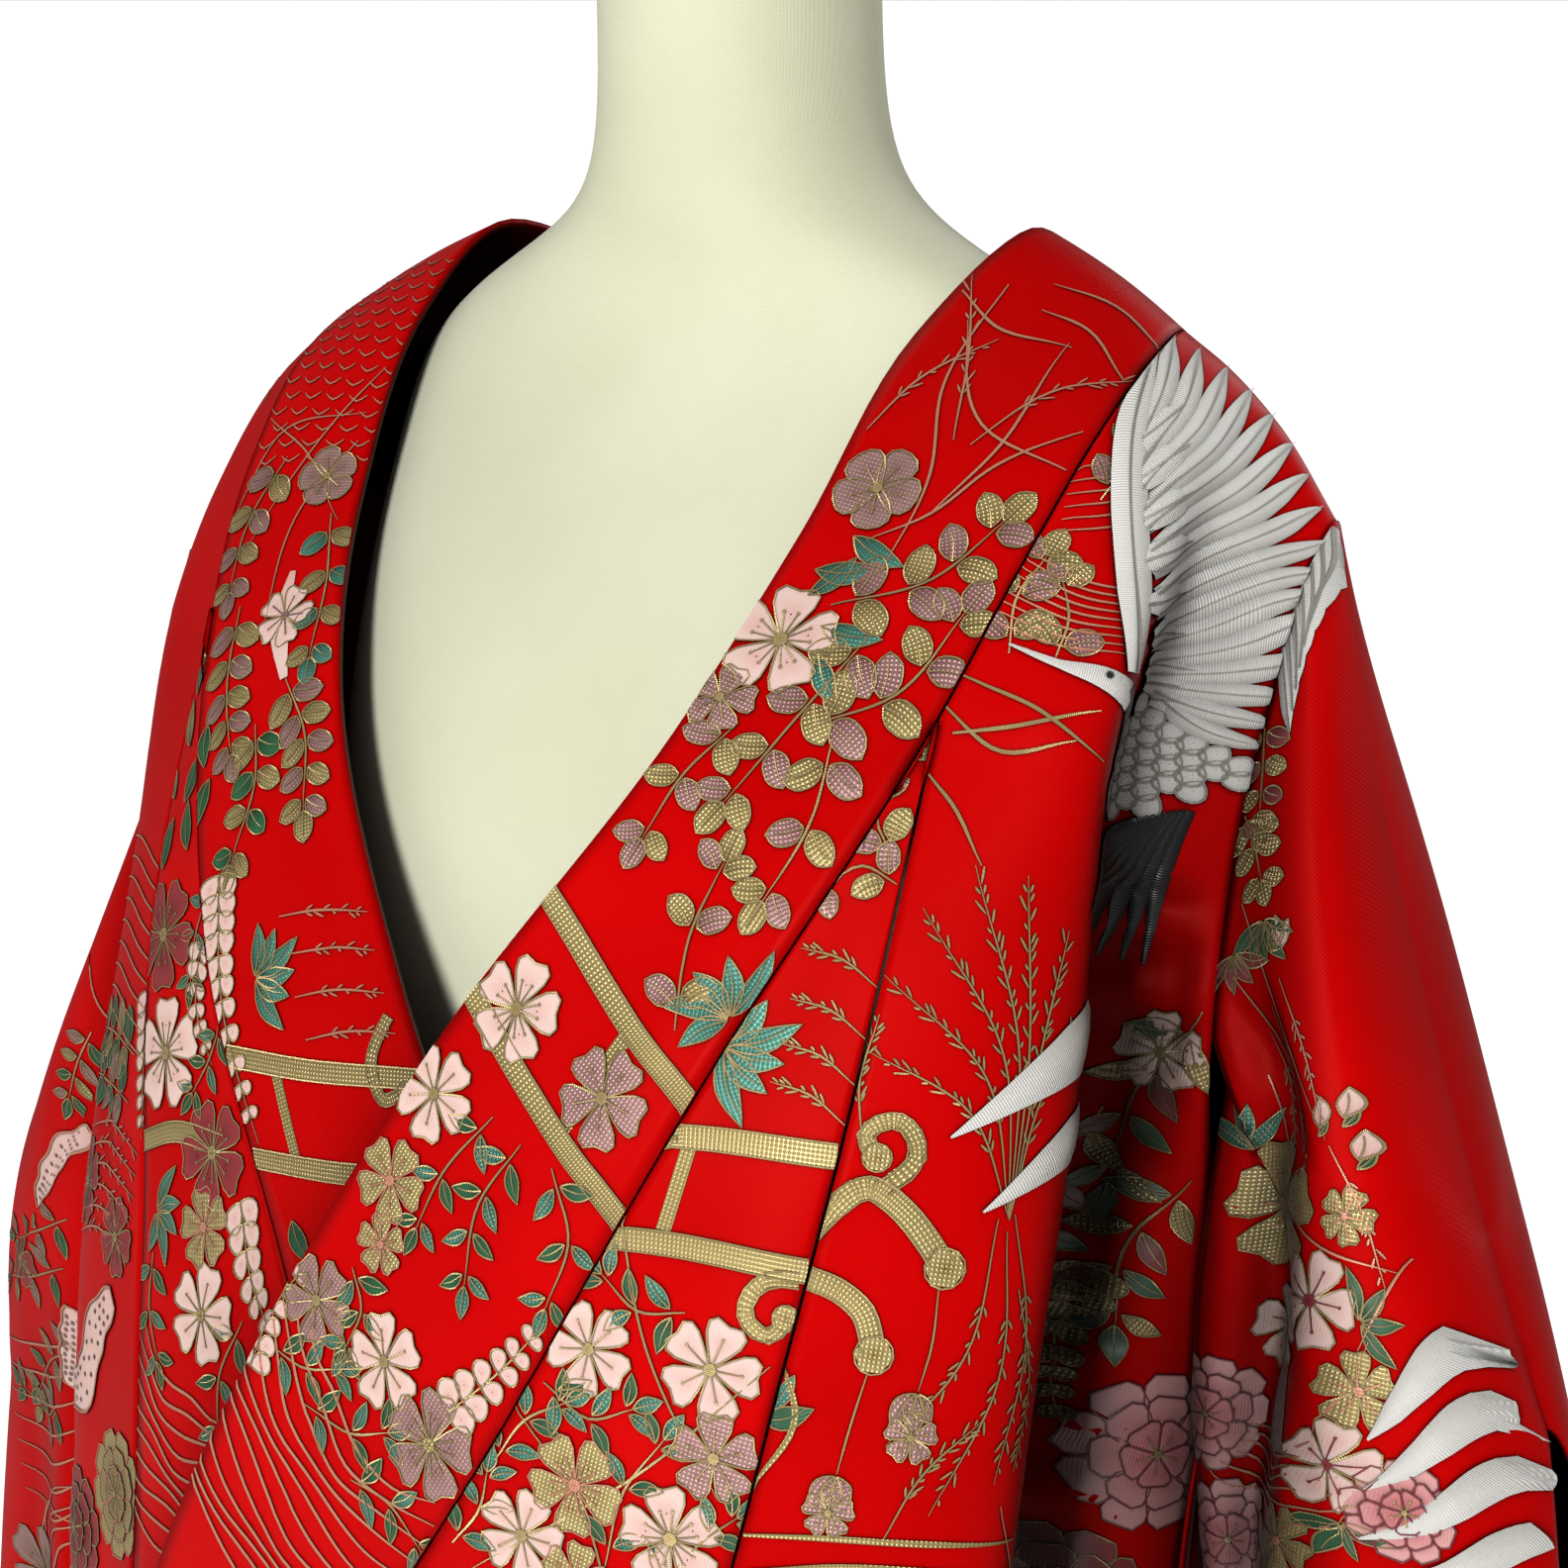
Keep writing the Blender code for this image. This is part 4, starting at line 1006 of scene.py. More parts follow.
    def frond(self, path, ticks=14, length=0.75, finish="rose_line", width=0.09):
        """A stem of pampas grass with its small ears."""
        self.blade(path, finish, width)
        spine = curve_through(path, 61)
        for number in range(ticks):
            at = int(60 * (0.30 + 0.68 * number / ticks))
            angle = heading(spine, at - 2, at + 2)
            for flip in (1, -1)[number % 2:][:1 + (number % 3 == 0)]:
                foot = around(spine[at], angle + flip * 40, 0.10)
                tip = around(foot, angle + flip * 26, length * (0.7 + 0.3 * math.sin(number * 1.7)))
                self.vane(finish, (foot, tip), (0.03, 0.10, 0.04), lift=0.05, count=4)

    def wisteria(self, path, pairs, size, finish="pale_petal"):
        """A hanging cluster: petals in pairs, smaller towards its tip."""
        spine = curve_through(path, 61)
        self.blade(path, "outline_gold", 0.07)
        for number in range(pairs):
            at = int(58 * number / pairs) + 1
            angle = heading(spine, at - 1, at + 2)
            scale = size * (1.05 - 0.65 * number / pairs)
            for flip in (1, -1):
                outline = self.petal_outline(spine[at], angle + flip * 50, scale, scale * 0.85, 0.0, 0.2)
                self.patch(finish, outline, around(spine[at], angle + flip * 50, scale * 0.5), crown=0.015,
                           tones=(0.35, 1.0), rings=2)
                self.outline("outline_gold", outline)

    def feather(self, path, width, crown=0.10, lift=0.07, tones=(0.75, 1.0)):
        """One embroidered feather, padded along its middle, with a couched quill."""
        widths = (width * 0.55, width, width * 1.05, width * 0.95, width * 0.12)
        self.vane("white_thread", path, widths, lift=lift, crown=crown, tones=tones, columns=5, lean=-0.30)
        self.vane("grey_thread", path, (0.07, 0.05), lift=lift + crown + 0.01)

    def band(self, path, width, ends=True):
        """A flat band of the carriage's rail, with two couched edges and a round end."""
        self.vane("gold_foil", path, (width, width), columns=3, tones=(0.5, 0.75), lean=0.15)
        spine = curve_through(path, 31)
        off = beside(spine) * width / 2
        for sign in (1, -1):
            edge = (spine + off * sign)[::5]
            self.vane("outline_gold", [tuple(point) for point in edge], (HAIR, HAIR), lift=0.06)
        if ends:
            self.dot("gold_foil", path[-1], width * 0.85, 0.05)
            ring = [around(path[-1], angle, width * 0.85) for angle in range(0, 360, 30)]
            self.outline("outline_gold", ring)

    def arcs(self, centre, first, last, count, begin, end, width=0.10):
        """Parallel arcs of a stream."""
        for number in range(count):
            reach = first + (last - first) * number / max(count - 1, 1)
            wave = []
            for share in range(6):
                waver = 1 + 0.03 * math.sin(share * 2.2 + number)
                wave.append(around(centre, begin + (end - begin) * share / 5, reach * waver))
            self.blade(wave, width=width)

    def star(self, centre, count, length, begin, spread, finish="teal_foil", edge="outline_gold", width=0.30):
        """Pointed leaves from one foot."""
        for number in range(count):
            angle = begin + spread * number / max(count - 1, 1)
            self.leaf(around(centre, angle, 0.1), angle, length * (0.85 + 0.15 * math.cos(number * 2.1)),
                      length * width, finish, edge, True)

    def peony(self, centre, radius, finish="pink_petal", edge="maroon_silk", turn=0.0):
        """A full bloom in three rounds of petals."""
        for ring, (share, petals) in enumerate(((1.0, 9), (0.72, 7), (0.42, 5))):
            self.blossom(centre, radius * share, finish, edge, turn + 23 * ring, petals, notch=0.05,
                         width=1.02, heart=edge if ring < 2 else "outline_gold",
                         lift=FLOAT + 0.05 * ring, tones=(0.0, 0.9 - 0.25 * ring))

    def spotted(self, path, width):
        """A lobed pale patch with a rose edge and rows of small dots."""
        spine = curve_through(path, 25)
        shares = np.linspace(0.0, 1.0, 25)
        half = width / 2 * np.sin(math.pi * (0.06 + 0.88 * shares)) ** 0.5 * (1 + 0.10 * np.sin(shares * 22))
        self.vane("pale_petal", path, tuple(2 * half), crown=0.04, tones=(0.55, 0.75), columns=5, count=25)
        off = beside(spine) * half[:, None]
        self.outline("rose_line", np.vstack([spine + off, (spine - off)[::-1]]), 0.12, 0.08)
        for number in range(3, 22, 2):
            for offset in (-0.5, 0.0, 0.5):
                place = number + (offset == 0.0)
                self.dot("mauve_foil", tuple(spine[place] + off[place] * offset), 0.10, 0.10)

    def scales(self, origin, rows, count, size, along, up):
        """Rows of overlapping small feathers, each edged with silver cord."""
        along, up = np.array(along), np.array(up)
        angle = math.degrees(math.atan2(up[1], up[0]))
        for row in range(rows):
            for number in range(count - row // 2):
                over = along * size * 0.9 * (number + 0.5 * (row % 2))
                foot = np.array(origin) + over - up * size * 0.62 * row
                outline = self.petal_outline(foot, angle + 180, size * 1.05, size, 0.0, 0.0)
                self.patch("white_thread", outline, foot - up * size * 0.5, lift=0.06 + 0.010 * (rows - row),
                           crown=0.018, tones=(1.0, 0.55), rings=2)
                self.outline("grey_thread", outline, 0.08, 0.085 + 0.010 * (rows - row))


# --- Figured design: the left collar and okumi -------------------------------------------------
# Bush clover, bellflower and cherry over long crossed grasses on the collar. Below them a carriage
# rail in gold foil, and at the foot of the collar a stream in parallel curves.
collar = Panel("collar")
for path in (((3.9, 76), (1.6, 73.5), (0.2, 71), (-1.6, 69.3)),
             ((-2.4, 80.5), (-2.0, 76), (-0.6, 72.5), (-0.4, 68)),
             ((4.1, 74.2), (0.5, 74.8), (-2.8, 78.6)), ((0.2, 71), (1.4, 74.5), (1.2, 79.5)),
             ((-3.8, 79.5), (-1.5, 78.8), (1.4, 79.4)), ((3.8, 79.2), (1.4, 80.4), (-0.6, 80.2)),
             ((4.0, 81.4), (1.6, 82.0), (-1.0, 81.4))):
    collar.blade(path)
collar.frond(((-0.4, 74.0), (-1.6, 77.0), (-3.9, 80.2)), 9, 0.6)
collar.frond(((0.3, 74.0), (2.2, 77.5), (4.2, 79.4)), 9, 0.6)
collar.frond(((-3.9, 73.5), (-3.0, 76.0), (-1.2, 78.4)), 8, 0.5)
collar.spray(((-1.5, 66.5), (1.5, 68.6), (2.9, 71.6)), 4, 1.75)
collar.spray(((0.2, 62.0), (2.6, 64.6), (3.3, 68.0)), 4, 1.75, ("mauve_foil", "gold_foil"))
collar.spray(((0.6, 66.2), (-0.3, 62.0), (-0.8, 58.2)), 4, 1.70)
collar.spray(((1.4, 62.0), (2.4, 59.4), (2.7, 56.4)), 3, 1.55, ("gold_foil", "mauve_foil"))
collar.spray(((-2.2, 61.0), (-2.8, 58.4), (-2.6, 55.4)), 3, 1.5, ("mauve_foil", "gold_foil"))
for foot, angle, length in (((-2.2, 69.3), -12, 2.6), ((-2.9, 67.6), 18, 2.7), ((-2.6, 66.6), 62, 2.2),
                            ((-0.9, 64.6), -40, 2.3), ((-1.4, 65.6), 8, 2.5)):
    collar.leaf(foot, angle, length, length * 0.36, "teal_foil")
collar.blossom((-2.6, 64.6), 2.35, turn=100)
collar.blossom((-2.3, 71.4), 1.75, "mauve_foil", turn=70, notch=0.0, sharp=0.5)
collar.blossom((-3.4, 61.6), 1.5, "mauve_foil", turn=20)
collar.star((4.4, 52.6), 5, 2.7, 95, 150, "teal_foil")
collar.band(((5.6, 49.2), (1.5, 50.0), (-4.6, 51.6)), 0.85, ends=False)
collar.band(((5.8, 44.4), (1.5, 45.2), (-5.4, 47.0)), 0.85, ends=False)
collar.vane("gold_foil", ((1.6, 50.4), (1.5, 44.8)), (0.6, 0.6), lift=0.02)
collar.blossom((-2.8, 47.6), 2.0, turn=30)
collar.blossom((2.2, 47.4), 1.9, "mauve_foil", turn=10)
collar.blossom((-3.9, 43.0), 1.9, turn=75)
collar.blossom((-3.6, 39.2), 1.7, "gold_foil", turn=15, heart="rose_line", edge="rose_line")
collar.spray(((3.0, 51.0), (1.2, 54.0), (0.6, 56.6)), 3, 1.5, ("gold_foil", "mauve_foil"))
collar.spray(((0.4, 44.0), (0.2, 41.0), (1.4, 38.4)), 4, 1.45, ("teal_foil", "leaf_green"), pointed=True)
collar.spray(((2.0, 44.2), (4.0, 42.6), (4.6, 40.0)), 3, 1.4, ("teal_foil", "leaf_green"), pointed=True)
collar.spray(((-1.2, 44.0), (-1.8, 41.0), (-1.6, 38.6)), 3, 1.4, ("leaf_green", "teal_foil"), pointed=True)
collar.blossom((0.0, 33.6), 1.9, turn=60)
collar.blossom((3.3, 32.6), 2.1, "mauve_foil", turn=35, heart="gold_foil")
collar.blossom((-3.9, 33.2), 1.8, "mauve_foil", turn=80)
collar.blossom((-2.6, 37.0), 1.2, "gold_foil", turn=50, edge="rose_line", heart="rose_line")
collar.wisteria(((3.3, 34.0), (4.3, 36.8), (4.9, 39.6)), 6, 1.2)
collar.wisteria(((-5.2, 28.6), (-5.5, 31.4), (-5.0, 34.2)), 6, 1.1)
for path in (((-4.6, 30.2), (-3.0, 30.6), (-1.6, 31.8)), ((-2.2, 29.4), (0.2, 30.2), (1.6, 31.6)),
             ((1.2, 28.8), (3.0, 29.4), (5.2, 29.0)), ((-3.2, 35.4), (-2.0, 34.4), (-1.8, 32.6))):
    collar.spray(path, 3, 1.5, ("teal_foil", "leaf_green"), pointed=True)
collar.arcs((1.5, 36.5), 6.5, 16.0, 13, 208, 300, width=0.14)

okumi = Panel("okumi_left")
okumi.spray(((-0.4, 126.8), (-1.6, 128.8), (-0.8, 131.0)), 3, 1.3)
okumi.spray(((-0.1, 126.0), (-1.4, 126.4), (-2.6, 125.4)), 2, 1.2, ("mauve_foil", "gold_foil"))
okumi.star((-4.9, 119.2), 6, 2.9, -62, 150, "teal_foil")
for height in (122.4, 120.6, 119.0, 117.6):
    okumi.frond(((0.0, height), (-1.4, height + 0.7), (-2.9, height + 0.8)), 8, 0.5, "outline_gold", 0.07)
okumi.band(((-8.4, 115.0), (-4.2, 115.9), (0.0, 116.5)), 0.85, ends=False)
okumi.band(((-9.6, 110.6), (-4.6, 111.8), (0.0, 112.4)), 0.85, ends=False)
okumi.vane("gold_foil", ((-5.2, 115.6), (-5.4, 111.6)), (0.55, 0.55), lift=0.02)
okumi.band(((-0.2, 112.0), (-1.4, 111.6), (-1.7, 110.3), (-0.7, 109.8), (-0.3, 110.6)), 0.55)
okumi.blossom((-2.4, 108.0), 1.95, turn=80)
okumi.blossom((-1.5, 105.0), 1.7, "mauve_foil", turn=30)
okumi.blossom((-6.3, 102.0), 2.0, "gold_foil", turn=65, edge="rose_line", heart="rose_line")
okumi.blossom((-2.3, 101.6), 2.05, turn=40)
okumi.blossom((-7.9, 99.2), 1.9, turn=10)
okumi.blossom((-7.0, 107.0), 1.8, turn=55)
okumi.blossom((-5.4, 98.6), 1.5, "gold_foil", turn=20, edge="rose_line", heart="rose_line")
for path in (((-8.4, 105.2), (-6.4, 104.6), (-4.8, 105.6)), ((-4.4, 99.6), (-4.4, 102.6), (-3.4, 105.0)),
             ((-9.6, 101.6), (-8.8, 103.6), (-7.4, 104.8)), ((-2.4, 99.2), (-1.0, 102.2), (-0.2, 103.2)),
             ((-3.8, 109.6), (-5.6, 109.0), (-7.2, 109.8)), ((-10.6, 97.6), (-9.8, 99.4), (-9.8, 101.0))):
    okumi.spray(path, 3, 1.45, ("teal_foil", "leaf_green"), pointed=True)
for path in (((-7.6, 113.4), (-5.0, 108.0), (-1.0, 103.6)), ((-9.4, 104.0), (-5.6, 101.0), (-3.0, 96.4)),
             ((-0.4, 108.8), (-3.6, 104.0), (-9.6, 97.0)), ((-11.6, 96.0), (-8.2, 97.0), (-4.2, 95.4))):
    okumi.blade(path, "outline_gold", 0.09)

# --- Figured design: the left body -------------------------------------------------------------
# Pampas grass and the scrolled ends of the carriage's poles on the front, with hanging ornaments.
# A crane is embroidered on the shoulder: satin-stitched flight feathers, coverts in silver cord.
body = Panel("body_left")
root = (-2.4, 112.4)
for tip, ticks in (((-8.0, 118.2), 16), ((-7.4, 121.0), 18), ((-6.0, 123.2), 19), ((-4.2, 124.6), 20),
                   ((-2.4, 124.4), 19), ((-0.9, 122.6), 17), ((-0.5, 119.4), 13)):
    middle = (root[0] + (tip[0] - root[0]) * 0.34, root[1] + (tip[1] - root[1]) * 0.62)
    body.frond((root, middle, tip), ticks, 0.55, "outline_gold", 0.07)
for path in (((-7.9, 114.6), (-8.2, 117.0), (-7.6, 119.6)), ((-2.2, 112.6), (-0.9, 108.0), (-1.4, 103.2)),
             ((-2.4, 112.0), (-1.8, 107.0), (-3.6, 102.0)), ((-1.6, 110.0), (-0.4, 106.5), (-0.6, 103.6)),
             ((-2.8, 112.4), (-3.2, 107.5), (-5.4, 104.2)), ((-5.0, 101.0), (-4.0, 103.4), (-2.2, 105.4))):
    body.frond(path, 15, 0.5, "outline_gold", 0.07)
for path, width in ((((1.0, 119.2), (-1.6, 117.6), (-4.9, 115.1)), 2.1),
                    (((1.0, 115.8), (-0.9, 114.6), (-3.4, 112.6)), 1.7)):
    body.vane("white_thread", path, (width, width, width * 0.75, width * 0.4, 0.08), lift=0.07,
              crown=0.12, columns=5, tones=(0.8, 1.0), lean=-0.3)
body.band(((-9.2, 111.2), (-7.4, 113.0), (-6.1, 112.3), (-4.4, 110.5)), 0.85)
body.band(((-7.0, 113.0), (-5.9, 114.4), (-6.7, 115.5), (-7.8, 114.9), (-7.3, 114.1)), 0.6)
body.band(((-9.6, 109.6), (-8.0, 109.3), (-6.9, 108.6), (-6.3, 107.2)), 0.8)
for string, bloom in ((((-4.5, 109.9), (-4.4, 107.6), (-4.6, 106.2)), (-4.6, 104.6)),
                      (((-6.4, 106.6), (-6.7, 104.6), (-6.9, 103.0)), (-7.0, 101.6))):
    body.blade(string, "outline_gold", 0.07)
    body.star(string[-1], 3, 1.4, 240, 60, "mauve_foil", "outline_gold", 0.5)
    body.blossom(bloom, 0.95, "mauve_foil", turn=90)
body.leaf((-9.8, 104.4), 20, 1.9, 0.8, "leaf_green")
body.leaf((-9.6, 104.8), 60, 1.5, 0.6, "teal_foil")
for path in (((-9.8, 100.3), (-5.0, 100.9), (0.0, 101.1)), ((-9.6, 99.0), (-5.5, 99.9), (0.4, 100.0)),
             ((-9.8, 102.0), (-8.6, 104.6), (-9.4, 106.6))):
    body.blade(path, "gold_foil", 0.22)
for path in (((-5.6, 129.8), (-2.6, 129.4), (0.0, 128.4)), ((-5.4, 128.2), (-3.0, 128.9), (-0.6, 130.0)),
             ((-6.0, 127.0), (-5.0, 126.2), (-4.0, 124.6)), ((-5.8, 128.8), (-3.6, 128.0), (-1.2, 128.8))):
    body.blade(path, "outline_gold", 0.12)
body.spray(((-4.2, 130.9), (-4.6, 133.0), (-4.0, 135.0)), 3, 1.5, ("gold_foil", "mauve_foil"))
body.spray(((-2.6, 131.2), (-2.6, 132.6), (-3.2, 134.0)), 2, 1.4, ("mauve_foil", "gold_foil"))
body.spray(((-2.6, 137.6), (-1.8, 139.6), (-2.2, 141.4)), 3, 1.15, ("gold_foil", "mauve_foil"))
body.leaf((-1.3, 138.0), 100, 1.6, 0.6, "teal_foil")
for number in range(9):
    drop = 0.42 * number
    body.blade(((-5.0, 135.2 - drop), (-2.6, 134.3 - drop * 0.8), (-0.3, 134.6 - drop * 0.7)),
               width=0.09)
for number in range(6):
    drop = 0.5 * number
    body.blade(((-3.8, 138.6 - drop), (-2.0, 139.2 - drop), (-0.9, 140.0 - drop)), "rose_line", 0.07)

# Crane: flight feathers, each a padded band, fan from the wing's fold to the shoulder line.
wing_root = ((-1.7, 139.6), (-0.9, 137.0), (0.3, 134.4), (2.2, 132.9), (4.0, 132.2))
FLIGHT = [
    # tip, bulge to the side
    ((-2.5, 144.9), 0.5), ((-1.4, 144.9), 0.9), ((-0.2, 144.9), 1.1), ((1.0, 144.9), 1.3),
    ((2.2, 144.7), 1.4), ((3.4, 144.2), 1.5), ((4.5, 143.4), 1.5), ((5.5, 142.4), 1.5),
    ((6.4, 141.2), 1.4), ((7.1, 139.9), 1.3), ((7.7, 138.5), 1.1), ((8.2, 137.1), 0.9),
    ((8.5, 135.7), 0.7), ((8.7, 134.3), 0.5), ((8.8, 132.9), 0.3), ((8.8, 131.5), 0.1),
]
for number, (tip, bulge) in enumerate(FLIGHT):
    share = number / (len(FLIGHT) - 1)
    foot = curve_through(wing_root, 101)[int(100 * share)]
    middle = ((foot[0] + tip[0]) / 2 + bulge * 0.7,
              (foot[1] + tip[1]) / 2 + 0.9 * bulge * share - 0.5 * share)
    body.vane("white_thread", (tuple(foot), middle, tip), (0.4, 1.1, 1.1, 0.80, 0.10),
              lift=0.06 + 0.004 * number, crown=0.15, tones=(0.62, 1.0), columns=5, lean=-0.34)
    body.vane("grey_thread", (tuple(foot), middle, tip), (0.05, 0.03), lift=0.22 + 0.004 * number)
for number in range(9):
    share = number / 8
    foot = curve_through(wing_root, 101)[int(100 * share)]
    path = (around(foot, 200, 0.5), around(foot, 74 - 60 * share, 1.0), around(foot, 70 - 66 * share, 2.6))
    body.feather(path, 1.0, lift=0.16, crown=0.07, tones=(1.0, 0.7))
body.feather(((0.2, 131.8), (-1.0, 135.2), (-2.0, 139.6), (-2.9, 144.4)), 1.25, lift=0.15, crown=0.14)
body.scales((3.4, 132.2), 7, 6, 1.15, along=(0.92, -0.30), up=(0.35, 0.94))
body.vane("white_thread", ((-4.3, 131.2), (-2.4, 131.0), (-0.9, 131.1), (0.6, 131.0)),
          (0.08, 0.30, 0.75, 1.1), lift=0.08, crown=0.08, columns=5, tones=(0.6, 1.0))
body.dot("black_thread", (-0.7, 131.25), 0.13, 0.17)
body.vane("black_thread", ((0.4, 131.3), (1.2, 130.6), (1.8, 129.2)), (0.7, 0.9, 0.5), lift=0.10,
          crown=0.08, columns=5)
for number in range(10):
    path = ((6.8 - 0.22 * number, 127.2 - 0.1 * number), (6.3 - 0.42 * number, 124.6 + 0.05 * number),
            (5.9 - 0.62 * number, 120.6 + 0.10 * number + 0.02 * number ** 2))
    body.vane("black_thread", path, (0.5, 0.62, 0.60, 0.10), crown=0.10, lift=0.05 + 0.005 * number,
              tones=(0.3, 0.8), columns=5, lean=-0.2)
body.blossom((6.9, 117.8), 1.5, turn=95)
for path in (((8.0, 119.4), (6.6, 116.4), (6.8, 112.6)), ((9.0, 113.6), (7.8, 110.6), (8.2, 107.4)),
             ((5.8, 115.4), (5.2, 111.6), (6.0, 108.0))):
    body.spray(path, 4, 1.9, ("leaf_green", "gold_foil", "maroon_silk"), pointed=True)
body.peony((10.6, 102.6), 3.3, turn=12)
body.peony((8.2, 96.4), 3.0, "maroon_silk", "outline_gold", turn=30)
body.wisteria(((7.4, 109.4), (7.0, 106.0), (7.6, 102.8)), 8, 1.0, "gold_foil")

# --- Figured design: the left sleeve -----------------------------------------------------------
# Cherry, plum and bush clover, and the wing tips of a second crane at the outer edge.
sleeve = Panel("sleeve_left")
for number in range(7):
    sleeve.feather(((0.0, 133.6 - 0.8 * number), (0.35 + 0.04 * number, 132.2 - 0.8 * number),
                    (0.5 + 0.14 * number, 130.4 - 0.8 * number)), 0.5, crown=0.05)
sleeve.spray(((0.1, 126.2), (0.6, 124.2), (1.0, 122.2)), 4, 1.1, ("gold_foil", "maroon_silk"))
sleeve.spray(((0.2, 122.6), (0.9, 121.6), (1.6, 120.2)), 3, 1.2, ("gold_foil", "gold_foil"))
sleeve.star((2.0, 118.8), 5, 2.0, -130, 110, "leaf_green")
sleeve.star((0.7, 117.6), 4, 1.8, -120, 110, "maroon_silk")
sleeve.leaf((2.6, 117.6), 60, 1.3, 0.8, "pale_petal")
sleeve.leaf((2.7, 117.6), 95, 1.3, 0.8, "pale_petal")
for bud in ((5.9, 111.2), (7.5, 110.2), (6.8, 111.6)):
    sleeve.leaf(bud, 95, 1.1, 0.75, "pale_petal")
    sleeve.leaf(around(bud, -90, 0.3), 60, 0.7, 0.3, "leaf_green")
for path in (((0.6, 117.0), (2.8, 114.4), (5.0, 110.4)), ((0.8, 119.4), (3.4, 115.0), (5.6, 111.6)),
             ((3.6, 108.6), (6.6, 106.9), (9.2, 106.6)), ((2.4, 113.0), (4.2, 109.0), (5.2, 104.0)),
             ((9.4, 107.2), (9.0, 105.6), (8.2, 103.6)), ((5.8, 98.0), (7.6, 101.2), (8.6, 104.0))):
    sleeve.blade(path, "rose_line", 0.09)
sleeve.star((1.4, 110.2), 4, 2.3, 40, 120, "teal_foil")
sleeve.star((8.2, 104.6), 4, 1.9, -40, 150, "leaf_green")
sleeve.star((8.6, 97.4), 4, 1.8, -150, 140, "leaf_green")
sleeve.blossom((3.3, 108.0), 2.7, "gold_foil", turn=92, edge="outline_gold", heart="rose_line")
sleeve.blossom((7.3, 108.2), 1.1, "gold_foil", turn=70, heart="rose_line")
sleeve.blossom((6.2, 105.0), 1.95, turn=70, heart="maroon_silk")
sleeve.blossom((3.8, 103.2), 1.8, turn=100)
sleeve.blossom((8.4, 102.2), 1.5, "gold_foil", turn=30, heart="rose_line")
sleeve.blossom((8.0, 99.3), 1.75, turn=88, heart="maroon_silk")
sleeve.blossom((6.8, 95.8), 1.5, "gold_foil", turn=60, heart="rose_line")
sleeve.vane("gold_foil", ((4.6, 102.4), (4.7, 100.4), (5.0, 98.8)), (1.2, 2.4, 2.8), columns=5,
            tones=(0.2, 0.8))
for number in range(7):
    sleeve.blade(((3.7 + 0.34 * number, 98.8), (4.1 + 0.22 * number, 100.6), (4.5 + 0.1 * number, 102.4)),
                 "outline_gold", 0.06, lift=0.08)
sleeve.arcs((4.6, 104.4), 5.6, 8.0, 6, 235, 305, width=0.11)
sleeve.peony((0.8, 99.6), 2.4, turn=40)
sleeve.peony((1.6, 94.6), 2.5, turn=10)
sleeve.peony((10.4, 98.4), 1.9, turn=25)
sleeve.peony((12.2, 92.6), 1.9, turn=5)
WING = (((8.9, 100.6), (10.4, 103.0), (11.0, 105.0)), ((9.1, 98.8), (11.3, 101.2), (12.2, 103.2)),
        ((9.4, 97.0), (12.1, 99.2), (13.3, 101.2)), ((9.7, 95.2), (12.8, 97.2), (14.3, 99.0)),
        ((10.1, 93.4), (13.4, 95.0), (15.2, 96.6)), ((10.5, 91.6), (14.2, 92.6), (16.1, 94.1)),
        ((11.0, 89.6), (14.8, 90.2), (16.9, 91.5)), ((11.6, 87.6), (15.4, 87.8), (17.5, 88.8)))
for number, path in enumerate(WING):
    sleeve.vane("white_thread", path, (0.08, 0.8, 1.1, 1.15, 1.0), lift=0.09 + 0.005 * number, crown=0.13,
                tones=(1.0, 0.7), columns=5, lean=0.3)
for path in (((3.2, 116.6), (4.8, 114.0), (6.2, 110.8)), ((2.8, 115.6), (4.2, 112.6), (5.4, 109.4)),
             ((6.4, 110.6), (7.8, 108.6), (9.0, 106.0)), ((2.4, 114.6), (3.4, 112.4), (4.2, 110.0))):
    sleeve.frond(path, 12, 0.45, "rose_line", 0.07)

# --- Figured design: the right collar, okumi and body ------------------------------------------
# The same plants as on the left, with wisteria, maroon peonies and dark leaves, and small
# crescents of rose gold in rows over the shoulder.
for number in range(15):
    row = 133.4 + 0.72 * number
    for place in range(5):
        middle = -3.2 + 1.35 * place + 0.5 * (number % 2)
        collar.blade(((middle - 0.5, row), (middle, row + 0.32), (middle + 0.5, row + 0.06)), width=0.08)
collar.blossom((-1.5, 144.6), 1.5, "mauve_foil", turn=70, notch=0.0, sharp=0.5)
collar.spray(((1.0, 143.6), (2.2, 146.4), (2.6, 149.4)), 4, 1.5, ("mauve_foil", "gold_foil"))
collar.spray(((-2.2, 146.6), (-2.6, 150.6), (-2.2, 154.0)), 4, 1.5, ("teal_foil", "gold_foil"))
collar.spray(((1.8, 150.4), (2.2, 154.0), (2.0, 157.0)), 5, 1.5, ("mauve_foil", "gold_foil"))
collar.spray(((-1.0, 154.6), (-2.0, 157.6), (-1.6, 161.0)), 5, 1.6, ("gold_foil", "mauve_foil"))
collar.spray(((0.6, 156.2), (0.8, 158.8), (2.6, 161.6)), 4, 1.5, ("gold_foil", "leaf_green"))
collar.blossom((-0.7, 151.6), 1.5, turn=100, heart="mauve_foil")
collar.vane("pale_petal", ((-0.8, 149.4), (-0.5, 152.0), (-0.9, 154.6)), (0.3, 1.1, 0.4), crown=0.03,
            tones=(0.3, 1.0), columns=3)
collar.leaf((3.4, 157.4), 60, 1.9, 0.8, "leaf_green")
collar.leaf((3.4, 155.0), 80, 1.8, 0.8, "leaf_green")
collar.leaf((4.0, 176.2), 95, 2.0, 0.9, "leaf_green")
